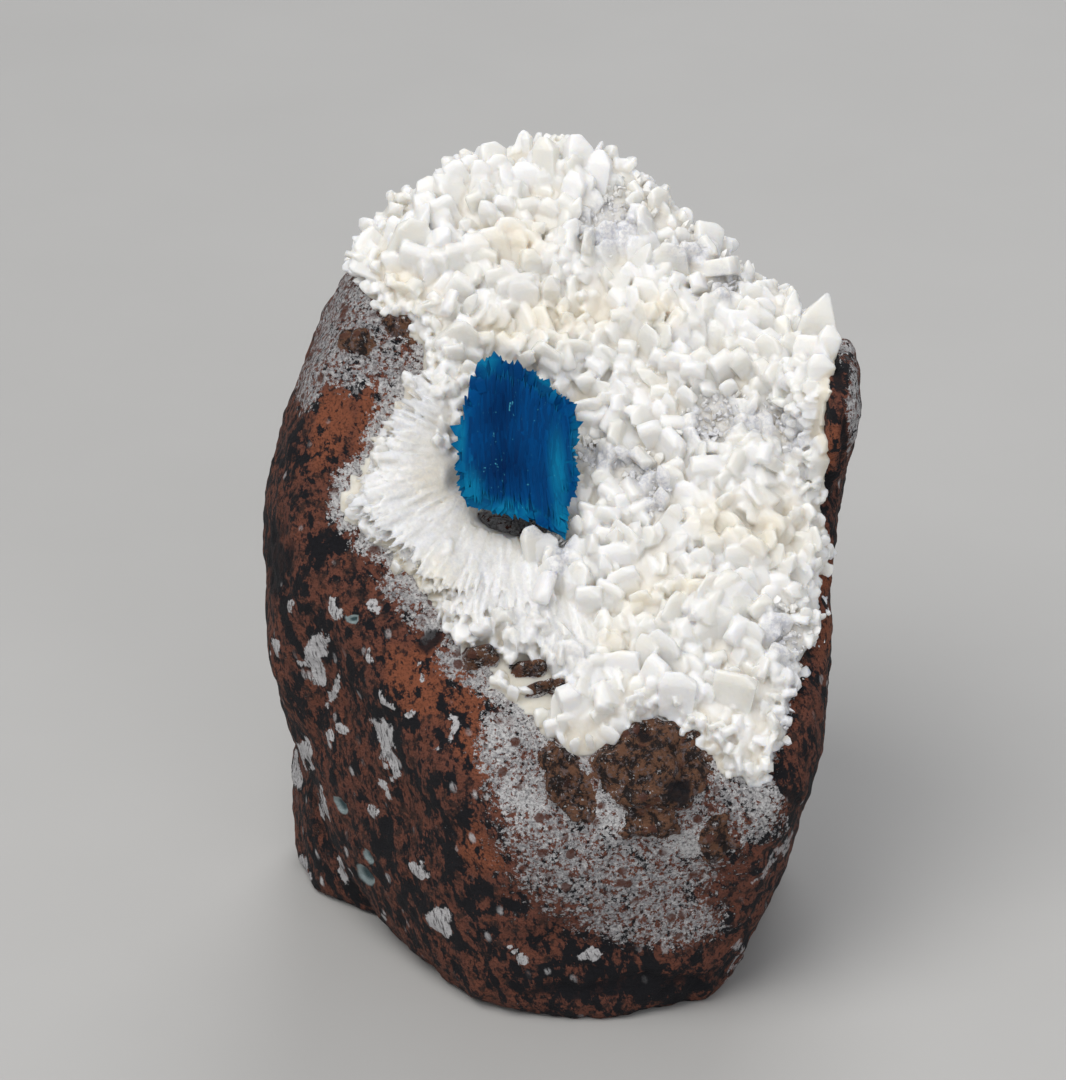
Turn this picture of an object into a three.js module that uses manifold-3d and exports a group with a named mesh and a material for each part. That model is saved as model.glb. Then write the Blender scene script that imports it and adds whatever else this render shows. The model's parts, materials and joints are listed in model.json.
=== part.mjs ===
// A cavansite cluster seated in a crust of white stilbite, on a hand-sized piece of red vesicular basalt.
// Millimetres, +Z up. The stone stands on a flat patch of its underside at z = 0, and its crystal face
// looks towards -Y and up. The origin is at the middle of the underside of the whole piece.

import * as THREE from "three";
import { ImprovedNoise } from "three/addons/math/ImprovedNoise.js";
import { mergeVertices } from "three/addons/utils/BufferGeometryUtils.js";
import Module from "manifold-3d";

const wasm = await Module();
wasm.setup();

// The stone: the flats that a hammer and weather left on it, each by the way it faces and its distance
// from the stone's heart. Azimuth 0 faces -Y and 90 faces +X.
const HEART = new THREE.Vector3(0, 2, 24);
const FLATS = [
  { name: "crystal face", azimuth: 3, elevation: 40, reach: 12.8 },
  { name: "front nose", azimuth: 8, elevation: -7, reach: 23.3 },
  { name: "front left flank", azimuth: -48, elevation: -4, reach: 19.8 },
  { name: "upper left flank", azimuth: -86, elevation: 25, reach: 23.2 },
  { name: "lower left flank", azimuth: -95, elevation: -12, reach: 20.3 },
  { name: "right flank", azimuth: 84, elevation: -9, reach: 18.5 },
  { name: "upper right break", azimuth: 124, elevation: 36, reach: 23.8 },
  { name: "top", azimuth: -142, elevation: 52, reach: 30.6 },
  { name: "back", azimuth: 180, elevation: 4, reach: 15.0 },
  { name: "back left", azimuth: -132, elevation: -6, reach: 19.5 },
  { name: "back right", azimuth: 136, elevation: -8, reach: 18.0 },
  { name: "underside", azimuth: 0, elevation: -90, reach: 27.5 },
  { name: "lower right bevel", azimuth: 64, elevation: -44, reach: 32.0 },
  { name: "lower left bevel", azimuth: -66, elevation: -50, reach: 28.6 },
];
const EDGE_SHARPNESS = 13;
const STONE_DETAIL = 9;
const LUMP_DETAIL = 3;
const LUMP_NOISE = { wavelength: 4.0, height: 0.9 };
const LUMPS = { wavelength: 11, height: 0.7 };
const ROUGHNESS = { wavelength: 4.6, height: 0.3 };

// The crystal face is measured square on, in a plane whose axes are U to the right and V up the slope.
// W is the way that plane faces. U = V = 0 lies in front of the stone's middle.
const FACE_TILT_DEG = 28;
const FACE_MIDDLE = new THREE.Vector3(0, 0, 26.2);
const FAR = 120;

// Knobs of bare rock that stand out of the face, and the hollow that holds the blue cluster.
const KNOBS = [
  { name: "brown knob", u: 6.6, v: -13.6, across: 4.2, up: 3.2, height: 2.2 },
  { name: "left knob", u: -11.4, v: 17.4, across: 2.2, up: 1.8, height: 1.2 },
  { name: "right knob", u: 19.0, v: 9.4, across: 1.8, up: 2.8, height: 1.2 },
  { name: "crystal hollow", u: -3.0, v: 6.5, across: 8.5, up: 9.5, height: -2.6 },
];

// A thin rim of the old cavity wall that still stands along the right edge, and a foot at the back left.
const RIM = { u: 19.2, v: 11.4, w: 6.4, thick: 1.9, tall: 5.6, deep: 6.4, turnDeg: -6 };
const FOOT = { x: -10.2, y: 3.6, z: 5.0, across: 9.6, deep: 9.6, tall: 14.0 };

// The stilbite crust: its outline on the crystal face, its thickness, and the blades that grow out of it.
const CRUST_OUTLINE = [
  [1.4, 32.0], [8.6, 27.4], [14.0, 23.2], [18.0, 18.6], [19.2, 13.0], [17.8, 9.0], [19.8, 4.6],
  [19.4, -1.4], [17.8, -7.2], [17.4, -12.6], [14.8, -15.8], [11.2, -13.6], [6.6, -9.8], [3.2, -12.2],
  [0.2, -12.4], [-4.8, -7.0], [-9.8, -0.8], [-15.2, 5.2], [-12.6, 10.2], [-9.8, 15.6], [-15.0, 21.4],
  [-13.4, 26.4], [-7.6, 29.8],
];
const OUTLINE_STEPS = 52;
const CRUST_THICKNESS = 1.5;
const CRUST_BACK = { depth: 4.6, cells: 16, wave: { wavelength: 7, height: 2.4 } };
const CONTACT_GAP = 0.3;
const LEAST_FACING = 0.6;
const BLADE_SPACING = 4.7;
const BLADE_SHAPE = { rootHalf: 0.4, shoulderHalf: 0.5, point: 0.55 };
const BLADE = {
  length: [3.0, 4.6], width: [2.0, 3.4], thickness: [1.0, 1.8], leanDeg: 52, rooted: 1.2, stray: 0.45,
};

// Low sheaves along the crust's left edge fan away from a middle point on the face. from and to are shares
// of the way round the outline.
const FRINGE = {
  middle: [2, 10], from: 0.58, to: 0.8, count: 12, inset: 2.4, fanDeg: 25, leanDeg: 74,
  length: [3.2, 4.6], width: [1.4, 2.2], thickness: 0.9,
};

// Blades that stand out by themselves: their root on the face, their size, and the way they lean.
const LARGE_BLADES = [
  { name: "corner spear", u: 16.4, v: 14.2, size: [4.2, 2.8, 1.8], towardsDeg: 52, leanDeg: 56 },
  { name: "grey plate", u: 12.6, v: 15.4, size: [4.6, 2.9, 1.2], towardsDeg: 80, leanDeg: 60 },
  { name: "lower plate", u: 8.4, v: -9.6, size: [4.8, 3.2, 1.3], towardsDeg: 95, leanDeg: 55 },
  { name: "lower right plate", u: 14.0, v: -9.0, size: [4.2, 3.4, 1.4], towardsDeg: 85, leanDeg: 48 },
  { name: "cream plate", u: -1.6, v: 17.6, size: [4.4, 4.2, 1.4], towardsDeg: 250, leanDeg: 50 },
  { name: "upper left plate", u: -8.6, v: 21.6, size: [5.2, 4.4, 1.2], towardsDeg: 130, leanDeg: 66 },
  { name: "right tab", u: 12.4, v: 19.2, size: [4.0, 2.4, 1.3], towardsDeg: 170, leanDeg: 64 },
];
const CRUST_SEED = 7;

// The cavansite: a flattened rosette of thin blades about one root, long across the face.
// Its rim is given as the reach of the blades at each angle, anticlockwise from the right.
const CLUSTER = { u: -3.6, v: 7.4, standOff: 5.2, thickness: 5.0, faceTurnDeg: 4, noseDownDeg: 6 };
const CLUSTER_RIM = [
  [0, 4.7], [16, 5.3], [41, 6.4], [69, 7.0], [100, 8.6], [115, 6.8], [144, 5.1], [180, 3.7],
  [218, 4.1], [257, 3.1], [292, 3.9], [310, 6.4], [340, 5.1],
];
const CLUSTER_LAYERS = [
  { depth: 0.1, scale: 0.92, count: 16 },
  { depth: 0.45, scale: 1.0, count: 19 },
  { depth: 0.8, scale: 0.86, count: 10 },
];
const CORE = { scale: 0.8, rootScale: 0.5, steps: 24 };
const CLUSTER_BLADE = {
  width: 1.25, thickness: 0.9, point: 1.5, sides: 4,
  stray: [0.15, 0.85], reachSpread: [0.94, 1.05], widthSpread: [0.8, 1.25], tiltDeg: 8,
};
const STREAKS = { count: 7, width: 1.2, tipWidth: 0.44, height: 0.45, leanDeg: -68, step: 0.25, sides: 4 };
const CLUSTER_SEED = 8;

const noise = new ImprovedNoise();
const { degToRad, radToDeg, lerp } = THREE.MathUtils;

// A small seeded generator, so that every build grows the same crystals.
function seeded(seed) {
  let state = seed;
  return (low = 0, high = 1) => {
    state = (state + 0x6d2b79f5) | 0;
    let t = Math.imul(state ^ (state >>> 15), 1 | state);
    t = (t + Math.imul(t ^ (t >>> 7), 61 | t)) ^ t;
    return low + (high - low) * (((t ^ (t >>> 14)) >>> 0) / 4294967296);
  };
}

// The three axes of the crystal face.
const tilt = degToRad(FACE_TILT_DEG);
const U = new THREE.Vector3(1, 0, 0);
const V = new THREE.Vector3(0, Math.sin(tilt), Math.cos(tilt));
const W = new THREE.Vector3(0, -Math.cos(tilt), Math.sin(tilt));
const faceFrame = new THREE.Matrix4().makeBasis(U, V, W).setPosition(FACE_MIDDLE);

function facePoint(u, v, w) {
  return new THREE.Vector3(u, v, w).applyMatrix4(faceFrame);
}

// The unit vector that faces a given azimuth and elevation.
function facing(azimuthDeg, elevationDeg) {
  const azimuth = degToRad(azimuthDeg);
  const elevation = degToRad(elevationDeg);
  const level = Math.cos(elevation);
  return new THREE.Vector3(Math.sin(azimuth) * level, -Math.cos(azimuth) * level, Math.sin(elevation));
}

// Solids: a closed geometry as a solid for joining and cutting, and back again.
function solidOf(geometry) {
  const bare = geometry.clone();
  bare.deleteAttribute("normal");
  bare.deleteAttribute("uv");
  const merged = mergeVertices(bare, 1e-4);
  return new wasm.Manifold(
    new wasm.Mesh({
      numProp: 3,
      vertProperties: new Float32Array(merged.attributes.position.array),
      triVerts: new Uint32Array(merged.index.array),
    }),
  );
}

function geometryOf(solid) {
  const mesh = solid.getMesh();
  const geometry = new THREE.BufferGeometry();
  geometry.setAttribute("position", new THREE.BufferAttribute(mesh.vertProperties, 3));
  geometry.setIndex(new THREE.BufferAttribute(mesh.triVerts, 1));
  const faceted = geometry.toNonIndexed();
  faceted.computeVertexNormals();
  return faceted;
}

// The largest of the bodies that a cut leaves.
function mainBody(solid) {
  return solid.decompose().sort((a, b) => b.volume() - a.volume())[0];
}

// The stone's surface along a direction from its heart: flats that run into each other over rounded edges.
const flatNormals = FLATS.map((flat) => facing(flat.azimuth, flat.elevation));

function stoneReach(direction) {
  let sum = 0;
  FLATS.forEach((flat, i) => {
    const share = Math.max(0, flatNormals[i].dot(direction) / flat.reach);
    sum += share ** EDGE_SHARPNESS;
  });
  return sum ** (-1 / EDGE_SHARPNESS);
}

function noiseAt(point, layer) {
  const p = point.clone().divideScalar(layer.wavelength);
  return layer.height * noise.noise(p.x, p.y, p.z);
}

// How far a knob or a hollow lifts the crystal face at a point. The back of the stone has none.
function knobLift(point) {
  const local = point.clone().sub(FACE_MIDDLE);
  if (local.dot(W) < 0) return 0;
  const u = local.dot(U);
  const v = local.dot(V);
  return KNOBS.reduce((lift, knob) => {
    const away = ((u - knob.u) / knob.across) ** 2 + ((v - knob.v) / knob.up) ** 2;
    return lift + knob.height * Math.exp(-away);
  }, 0);
}

// The stone's main body: a ball pushed out to its flats, then lumped. lift moves it along its normals.
function stoneBall(lift) {
  const ball = new THREE.IcosahedronGeometry(1, STONE_DETAIL);
  ball.deleteAttribute("normal");
  ball.deleteAttribute("uv");
  const surface = mergeVertices(ball, 1e-4);
  const position = surface.attributes.position;
  const point = new THREE.Vector3();
  for (let i = 0; i < position.count; i++) {
    const direction = new THREE.Vector3().fromBufferAttribute(position, i).normalize();
    point.copy(direction).multiplyScalar(stoneReach(direction)).add(HEART);
    const raised = noiseAt(point, LUMPS) + noiseAt(point, ROUGHNESS) + knobLift(point);
    point.addScaledVector(direction, raised);
    position.setXYZ(i, point.x, point.y, point.z);
  }
  surface.computeVertexNormals();
  const normal = surface.attributes.normal;
  for (let i = 0; i < position.count; i++) {
    point.fromBufferAttribute(position, i);
    point.addScaledVector(new THREE.Vector3().fromBufferAttribute(normal, i), lift);
    position.setXYZ(i, point.x, point.y, point.z);
  }
  surface.computeVertexNormals();
  return surface;
}

// A rounded lump of rock that stands on the main body.
function lumpOf(half, place, lift) {
  const lump = new THREE.IcosahedronGeometry(1, LUMP_DETAIL);
  lump.scale(half.x + lift, half.y + lift, half.z + lift).applyMatrix4(place);
  const middle = new THREE.Vector3().setFromMatrixPosition(place);
  const position = lump.attributes.position;
  for (let i = 0; i < position.count; i++) {
    const point = new THREE.Vector3().fromBufferAttribute(position, i);
    const outward = point.clone().sub(middle).normalize();
    point.addScaledVector(outward, noiseAt(point, LUMP_NOISE));
    position.setXYZ(i, point.x, point.y, point.z);
  }
  return solidOf(lump);
}

function rimPlace() {
  return faceFrame
    .clone()
    .multiply(new THREE.Matrix4().makeTranslation(RIM.u, RIM.v, RIM.w))
    .multiply(new THREE.Matrix4().makeRotationZ(degToRad(RIM.turnDeg)));
}

// Everything above the surface that the stone stands on.
function aboveGround(solid) {
  const below = new THREE.BoxGeometry(FAR, FAR, FAR).translate(0, 0, -FAR / 2);
  return solid.subtract(solidOf(below));
}

function stoneSolid(lift) {
  const rimHalf = new THREE.Vector3(RIM.thick, RIM.tall, RIM.deep);
  const footHalf = new THREE.Vector3(FOOT.across, FOOT.deep, FOOT.tall);
  const footPlace = new THREE.Matrix4().makeTranslation(FOOT.x, FOOT.y, FOOT.z);
  const rim = lumpOf(rimHalf, rimPlace(), lift);
  const foot = lumpOf(footHalf, footPlace, lift);
  return aboveGround(solidOf(stoneBall(lift)).add(rim).add(foot));
}

// A point on the stone's bare face, with the way the stone faces there.
const bareFace = new THREE.Mesh(stoneBall(0), new THREE.MeshBasicMaterial());

function onFace(u, v) {
  const ray = new THREE.Raycaster(facePoint(u, v, FAR), W.clone().negate());
  const hit = ray.intersectObject(bareFace)[0];
  return hit ? { point: hit.point, normal: hit.face.normal.clone() } : null;
}

// The crust's outline as a smooth closed line, in the face's own plane.
const outlineCurve = new THREE.CatmullRomCurve3(
  CRUST_OUTLINE.map(([u, v]) => new THREE.Vector3(u, v, 0)),
  true,
);
const outlinePoints = outlineCurve.getSpacedPoints(OUTLINE_STEPS).slice(0, -1);

function insideOutline(u, v) {
  let inside = false;
  outlinePoints.forEach((a, i) => {
    const b = outlinePoints[(i + 1) % outlinePoints.length];
    const crosses = a.y > v !== b.y > v && u < a.x + ((v - a.y) / (b.y - a.y)) * (b.x - a.x);
    if (crosses) inside = !inside;
  });
  return inside;
}

// A flat blade with a pointed end, from its root at the origin along +Y, thick along Z.
function bladeGeometry(length, width, thickness) {
  const root = width * BLADE_SHAPE.rootHalf;
  const side = width * BLADE_SHAPE.shoulderHalf;
  const shoulder = length - width * BLADE_SHAPE.point;
  const outline = new THREE.Shape();
  outline.moveTo(-root, 0);
  outline.lineTo(root, 0);
  outline.lineTo(side, shoulder);
  outline.lineTo(0, length);
  outline.lineTo(-side, shoulder);
  outline.closePath();
  const blade = new THREE.ExtrudeGeometry(outline, { depth: thickness, bevelEnabled: false });
  return blade.translate(0, 0, -thickness / 2);
}

// A blade rooted in the crust. towardsDeg is the way it leans across the face, anticlockwise from +U.
// One that is kept in has its point over the crust too.
function bladeOnFace({ u, v, size, towardsDeg, leanDeg, spinDeg = 0, keptIn = false }) {
  const [length, width, thickness] = size;
  const root = onFace(u, v);
  if (!root || root.normal.dot(W) < LEAST_FACING) return null;
  const towards = degToRad(towardsDeg);
  const lean = degToRad(leanDeg);
  const across = U.clone().multiplyScalar(Math.cos(towards)).addScaledVector(V, Math.sin(towards));
  across.addScaledVector(root.normal, -across.dot(root.normal)).normalize();
  const along = root.normal.clone().multiplyScalar(Math.cos(lean)).addScaledVector(across, Math.sin(lean));
  const surface = root.point.clone().addScaledVector(root.normal, CRUST_THICKNESS);
  const tip = surface.clone().addScaledVector(along, length).sub(FACE_MIDDLE);
  if (keptIn && !insideOutline(tip.dot(U), tip.dot(V))) return null;
  const flat = root.normal.clone().addScaledVector(along, -root.normal.dot(along)).normalize();
  flat.applyAxisAngle(along, degToRad(spinDeg));
  const side = along.clone().cross(flat);
  const base = surface.addScaledVector(along, -BLADE.rooted);
  const place = new THREE.Matrix4().makeBasis(side, along, flat).setPosition(base);
  return solidOf(bladeGeometry(length + BLADE.rooted, width, thickness).applyMatrix4(place));
}

// Blades scattered over the face, one to each cell of a loose grid.
function scatteredBlades(random) {
  const us = CRUST_OUTLINE.map(([u]) => u);
  const vs = CRUST_OUTLINE.map(([, v]) => v);
  const blades = [];
  for (let u = Math.min(...us); u < Math.max(...us); u += BLADE_SPACING) {
    for (let v = Math.min(...vs); v < Math.max(...vs); v += BLADE_SPACING) {
      const spot = {
        u: u + random(-BLADE.stray, BLADE.stray) * BLADE_SPACING,
        v: v + random(-BLADE.stray, BLADE.stray) * BLADE_SPACING,
        size: [random(...BLADE.length), random(...BLADE.width), random(...BLADE.thickness)],
        towardsDeg: random(0, 360),
        leanDeg: random(0, BLADE.leanDeg),
        spinDeg: random(0, 180),
        keptIn: true,
      };
      if (insideOutline(spot.u, spot.v)) blades.push(bladeOnFace(spot));
    }
  }
  return blades;
}

// Low sheaves that lie outwards over the bare rock along the crust's left edge.
function fringeBlades(random) {
  const middle = new THREE.Vector2(...FRINGE.middle);
  return Array.from({ length: FRINGE.count }, (_, i) => {
    const share = (i + random(0.2, 0.8)) / FRINGE.count;
    const at = outlineCurve.getPointAt(lerp(FRINGE.from, FRINGE.to, share));
    const outward = new THREE.Vector2(at.x, at.y).sub(middle).normalize();
    return bladeOnFace({
      u: at.x - outward.x * FRINGE.inset,
      v: at.y - outward.y * FRINGE.inset,
      size: [random(...FRINGE.length), random(...FRINGE.width), FRINGE.thickness],
      towardsDeg: radToDeg(outward.angle()) + random(-FRINGE.fanDeg, FRINGE.fanDeg),
      leanDeg: FRINGE.leanDeg,
    });
  });
}

// The rock behind the crust's edges: a block that follows the crystal face at a depth, with a wavy front.
function behindCrust() {
  const { depth, cells, wave } = CRUST_BACK;
  const [face] = FLATS;
  const block = new THREE.BoxGeometry(FAR, FAR, FAR, cells, cells, 1).translate(0, 0, -FAR / 2);
  const position = block.attributes.position;
  for (let i = 0; i < position.count; i++) {
    const point = new THREE.Vector3().fromBufferAttribute(position, i);
    const front = point.z === 0 ? noiseAt(point, wave) : point.z;
    position.setZ(i, front);
  }
  const outward = flatNormals[0];
  const across = new THREE.Vector3(0, 0, 1).cross(outward).normalize();
  const up = outward.clone().cross(across);
  const middle = HEART.clone().addScaledVector(outward, face.reach - depth);
  const place = new THREE.Matrix4().makeBasis(across, up, outward).setPosition(middle);
  return solidOf(block.applyMatrix4(place));
}

// The crust: a sheet over the stone inside the outline, with every blade grown into it.
function crustSolid() {
  const random = seeded(CRUST_SEED);
  const shape = new THREE.Shape(outlinePoints.map((p) => new THREE.Vector2(p.x, p.y)));
  const prism = new THREE.ExtrudeGeometry(shape, { depth: FAR, bevelEnabled: false });
  prism.applyMatrix4(faceFrame);
  const shell = solidOf(stoneBall(CRUST_THICKNESS)).subtract(behindCrust());
  const sheet = shell.intersect(solidOf(prism));
  const blades = [
    ...scatteredBlades(random),
    ...fringeBlades(random),
    ...LARGE_BLADES.map(bladeOnFace),
  ];
  const grown = wasm.Manifold.union([sheet, ...blades.filter(Boolean)]);
  return grown.subtract(stoneSolid(CONTACT_GAP)).subtract(clusterSolid(CONTACT_GAP));
}

// The reach of the blue blades at an angle, read evenly between the stated angles.
function clusterReach(angleDeg) {
  const turn = ((angleDeg % 360) + 360) % 360;
  const after = CLUSTER_RIM.findIndex(([angle]) => angle > turn);
  const next = after < 0 ? [CLUSTER_RIM[0][0] + 360, CLUSTER_RIM[0][1]] : CLUSTER_RIM[after];
  const last = CLUSTER_RIM[(after < 0 ? CLUSTER_RIM.length : after) - 1];
  return lerp(last[1], next[1], (turn - last[0]) / (next[0] - last[0]));
}

// Where the cluster stands: off the crust, with its flat side to the front.
function clusterPlace() {
  const root = onFace(CLUSTER.u, CLUSTER.v).point.sub(FACE_MIDDLE);
  return faceFrame
    .clone()
    .multiply(new THREE.Matrix4().makeTranslation(CLUSTER.u, CLUSTER.v, root.dot(W) + CLUSTER.standOff))
    .multiply(new THREE.Matrix4().makeRotationY(degToRad(CLUSTER.faceTurnDeg)))
    .multiply(new THREE.Matrix4().makeRotationX(degToRad(CLUSTER.noseDownDeg)));
}

// The thick middle of the cluster, with its front at z = 0, narrowing to its root behind. grow makes it
// larger all round.
function coreGeometry(grow) {
  const back = -CLUSTER.thickness - grow;
  const profile = [[0, back], [CORE.rootScale, back], [CORE.scale, grow], [0, grow]];
  const core = new THREE.LatheGeometry(profile.map(([r, z]) => new THREE.Vector2(r, z)), CORE.steps);
  core.rotateX(Math.PI / 2);
  const position = core.attributes.position;
  for (let i = 0; i < position.count; i++) {
    const angle = Math.atan2(position.getY(i), position.getX(i));
    const share = Math.hypot(position.getX(i), position.getY(i));
    const reach = share > 0 ? share * clusterReach(radToDeg(angle)) + grow : 0;
    position.setXY(i, reach * Math.cos(angle), reach * Math.sin(angle));
  }
  return core;
}

// One pointed blade end at the cluster's rim, at a place between 0 and 1 round one of its layers.
function rimBladeGeometry(layer, share, random, grow) {
  const angleDeg = share * 360;
  const reach = clusterReach(angleDeg) * layer.scale * random(...CLUSTER_BLADE.reachSpread) + grow;
  const width = CLUSTER_BLADE.width * random(...CLUSTER_BLADE.widthSpread) + 2 * grow;
  const thickness = CLUSTER_BLADE.thickness + 2 * grow;
  const tiltDeg = random(-CLUSTER_BLADE.tiltDeg, CLUSTER_BLADE.tiltDeg);
  const length = 2 * (CLUSTER_BLADE.point + grow);
  const blade = new THREE.ConeGeometry(width / 2, length, CLUSTER_BLADE.sides);
  blade.scale(1, 1, thickness / width).translate(0, reach - length / 2, 0);
  blade.rotateX(degToRad(tiltDeg)).rotateZ(degToRad(angleDeg - 90));
  return blade.translate(0, 0, -CLUSTER.thickness * layer.depth);
}

// One long ridge on the cluster's flat side, at a place between 0 and 1 across it.
function streakGeometry(share, grow) {
  const coreReach = (angleDeg) => clusterReach(angleDeg) * CORE.scale;
  const lean = degToRad(STREAKS.leanDeg);
  const along = new THREE.Vector2(Math.cos(lean), Math.sin(lean));
  const across = new THREE.Vector2(-along.y, along.x);
  const offset = lerp(-coreReach(STREAKS.leanDeg - 90), coreReach(STREAKS.leanDeg + 90), share);
  const [start, end] = [-STREAKS.step, STREAKS.step].map((step) => {
    const point = across.clone().multiplyScalar(offset);
    while (point.length() < coreReach(radToDeg(point.angle()))) point.addScaledVector(along, step);
    return point;
  });
  const length = start.distanceTo(end) + 2 * grow;
  const half = STREAKS.width / 2 + grow;
  const ridge = new THREE.CylinderGeometry(STREAKS.tipWidth / 2 + grow, half, length, STREAKS.sides);
  ridge.scale(1, 1, (STREAKS.height + grow) / half).rotateZ(lean + Math.PI / 2);
  const middle = start.add(end).multiplyScalar(0.5);
  return ridge.translate(middle.x, middle.y, 0);
}

// The blue cluster: a thick core, blade points all round its rim in layers, and ridges on its face.
function clusterSolid(grow) {
  const random = seeded(CLUSTER_SEED);
  const geometries = [coreGeometry(grow)];
  for (const layer of CLUSTER_LAYERS) {
    for (let i = 0; i < layer.count; i++) {
      const share = (i + random(...CLUSTER_BLADE.stray)) / layer.count;
      geometries.push(rimBladeGeometry(layer, share, random, grow));
    }
  }
  for (let i = 0; i < STREAKS.count; i++) {
    geometries.push(streakGeometry((i + 0.5) / STREAKS.count, grow));
  }
  const place = clusterPlace();
  return wasm.Manifold.union(geometries.map((geometry) => solidOf(geometry.applyMatrix4(place))));
}

// Each piece in its own colour.
function piece(name, solid, color, roughness) {
  const material = new THREE.MeshStandardMaterial({ color, roughness, metalness: 0 });
  const mesh = new THREE.Mesh(geometryOf(mainBody(solid)), material);
  mesh.name = name;
  return mesh;
}

const specimen = new THREE.Group();
specimen.add(piece("basalt_matrix", stoneSolid(0), 0x5d3a2f, 0.75));
specimen.add(piece("stilbite_crust", crustSolid(), 0xefece4, 0.4));
specimen.add(piece("cavansite_cluster", clusterSolid(0).subtract(stoneSolid(CONTACT_GAP)), 0x064a86, 0.35));

// The origin goes to the middle of the underside.
const bounds = new THREE.Box3().setFromObject(specimen);
const middle = bounds.getCenter(new THREE.Vector3());
for (const mesh of specimen.children) {
  mesh.position.set(-middle.x, -middle.y, -bounds.min.z);
}

export default specimen;
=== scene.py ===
import json
import math

import bmesh
import bpy
import numpy as np
from mathutils import Matrix, Vector, noise
from mathutils.bvhtree import BVHTree
from mathutils.kdtree import KDTree

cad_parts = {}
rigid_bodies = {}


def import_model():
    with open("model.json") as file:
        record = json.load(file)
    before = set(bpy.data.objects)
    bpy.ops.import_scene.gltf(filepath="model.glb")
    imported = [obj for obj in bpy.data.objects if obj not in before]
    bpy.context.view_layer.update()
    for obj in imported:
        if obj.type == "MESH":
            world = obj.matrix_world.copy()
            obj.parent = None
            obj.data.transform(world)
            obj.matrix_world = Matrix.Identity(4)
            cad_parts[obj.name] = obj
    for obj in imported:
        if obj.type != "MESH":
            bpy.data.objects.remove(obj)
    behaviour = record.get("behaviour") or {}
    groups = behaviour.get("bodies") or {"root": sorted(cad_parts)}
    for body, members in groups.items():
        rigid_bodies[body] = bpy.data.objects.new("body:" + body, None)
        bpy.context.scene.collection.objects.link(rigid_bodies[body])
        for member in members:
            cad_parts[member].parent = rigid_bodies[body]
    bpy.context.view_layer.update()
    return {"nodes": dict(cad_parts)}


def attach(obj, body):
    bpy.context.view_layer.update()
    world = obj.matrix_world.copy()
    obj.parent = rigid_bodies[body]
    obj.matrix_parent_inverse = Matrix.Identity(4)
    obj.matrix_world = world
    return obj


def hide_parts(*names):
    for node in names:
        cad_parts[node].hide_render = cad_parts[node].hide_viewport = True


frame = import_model()


# The studio: a plain pale floor under one broad soft light from the upper left and weaker ones from the right
# and from behind. The camera looks down on the crystal face at the photograph's angle, from well back.
MM = 0.001
PHOTO_SIZE = (1066, 1080)
PHOTO_MM_PER_PIXEL = 0.0717
VIEW_ELEVATION = math.radians(28)
VIEW_DISTANCE = 380 * MM
MIDDLE = Vector((0, 0, 27)) * MM
MIDDLE_PIXEL = (560, 570)
SENSOR_MM = 36.0
FLOOR_SIZE = 3.0
FLOOR_COLOUR = (0.46, 0.455, 0.445, 1.0)
FLOOR_FLECK = (0.43, 0.425, 0.415, 1.0)
LIGHTS = {
    # name: place and diameter in metres, watts, colour
    "key": ((-0.20, -0.24, 0.55), 0.46, 2.75, (1.0, 0.985, 0.96)),
    "fill": ((0.22, -0.58, 0.32), 0.50, 1.25, (0.98, 0.98, 1.0)),
    "back": ((0.10, 0.50, 0.45), 0.40, 1.2, (1.0, 1.0, 1.0)),
}
SKY_COLOUR = (0.82, 0.84, 0.88, 1.0)
SKY_STRENGTH = 0.38

scene = bpy.context.scene
scene.view_settings.view_transform = "Standard"
scene.cycles.diffuse_bounces = 3
scene.cycles.glossy_bounces = 2

RIGHT = Vector((1, 0, 0))
UP = Vector((0, math.sin(VIEW_ELEVATION), math.cos(VIEW_ELEVATION)))
TOWARDS = Vector((0, -math.cos(VIEW_ELEVATION), math.sin(VIEW_ELEVATION)))
PIXEL = PHOTO_MM_PER_PIXEL * MM
FOCAL_PIXELS = VIEW_DISTANCE / PIXEL
CENTRE_PIXEL = (PHOTO_SIZE[0] / 2, PHOTO_SIZE[1] / 2)

aim = (
    MIDDLE
    + RIGHT * (CENTRE_PIXEL[0] - MIDDLE_PIXEL[0]) * PIXEL
    + UP * (MIDDLE_PIXEL[1] - CENTRE_PIXEL[1]) * PIXEL
)
lens = bpy.data.cameras.new("camera")
lens.sensor_width = SENSOR_MM
lens.lens = SENSOR_MM * FOCAL_PIXELS / PHOTO_SIZE[1]
lens.clip_start = 0.01
camera = bpy.data.objects.new("camera", lens)
camera.location = aim + TOWARDS * VIEW_DISTANCE
camera.rotation_euler = (math.pi / 2 - VIEW_ELEVATION, 0, 0)
scene.collection.objects.link(camera)
scene.camera = camera


def sight(pixel):
    """The camera's place and the way it looks through a pixel of the photograph."""
    across = (pixel[0] - CENTRE_PIXEL[0]) / FOCAL_PIXELS
    above = (CENTRE_PIXEL[1] - pixel[1]) / FOCAL_PIXELS
    return camera.location, (RIGHT * across + UP * above - TOWARDS).normalized()


def pixels_of(points):
    """The photograph's pixel of each point of an array."""
    away = points - np.array(camera.location)
    depth = -(away @ np.array(TOWARDS))
    across = CENTRE_PIXEL[0] + FOCAL_PIXELS * (away @ np.array(RIGHT)) / depth
    down = CENTRE_PIXEL[1] - FOCAL_PIXELS * (away @ np.array(UP)) / depth
    return np.stack([across, down], axis=1)


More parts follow.
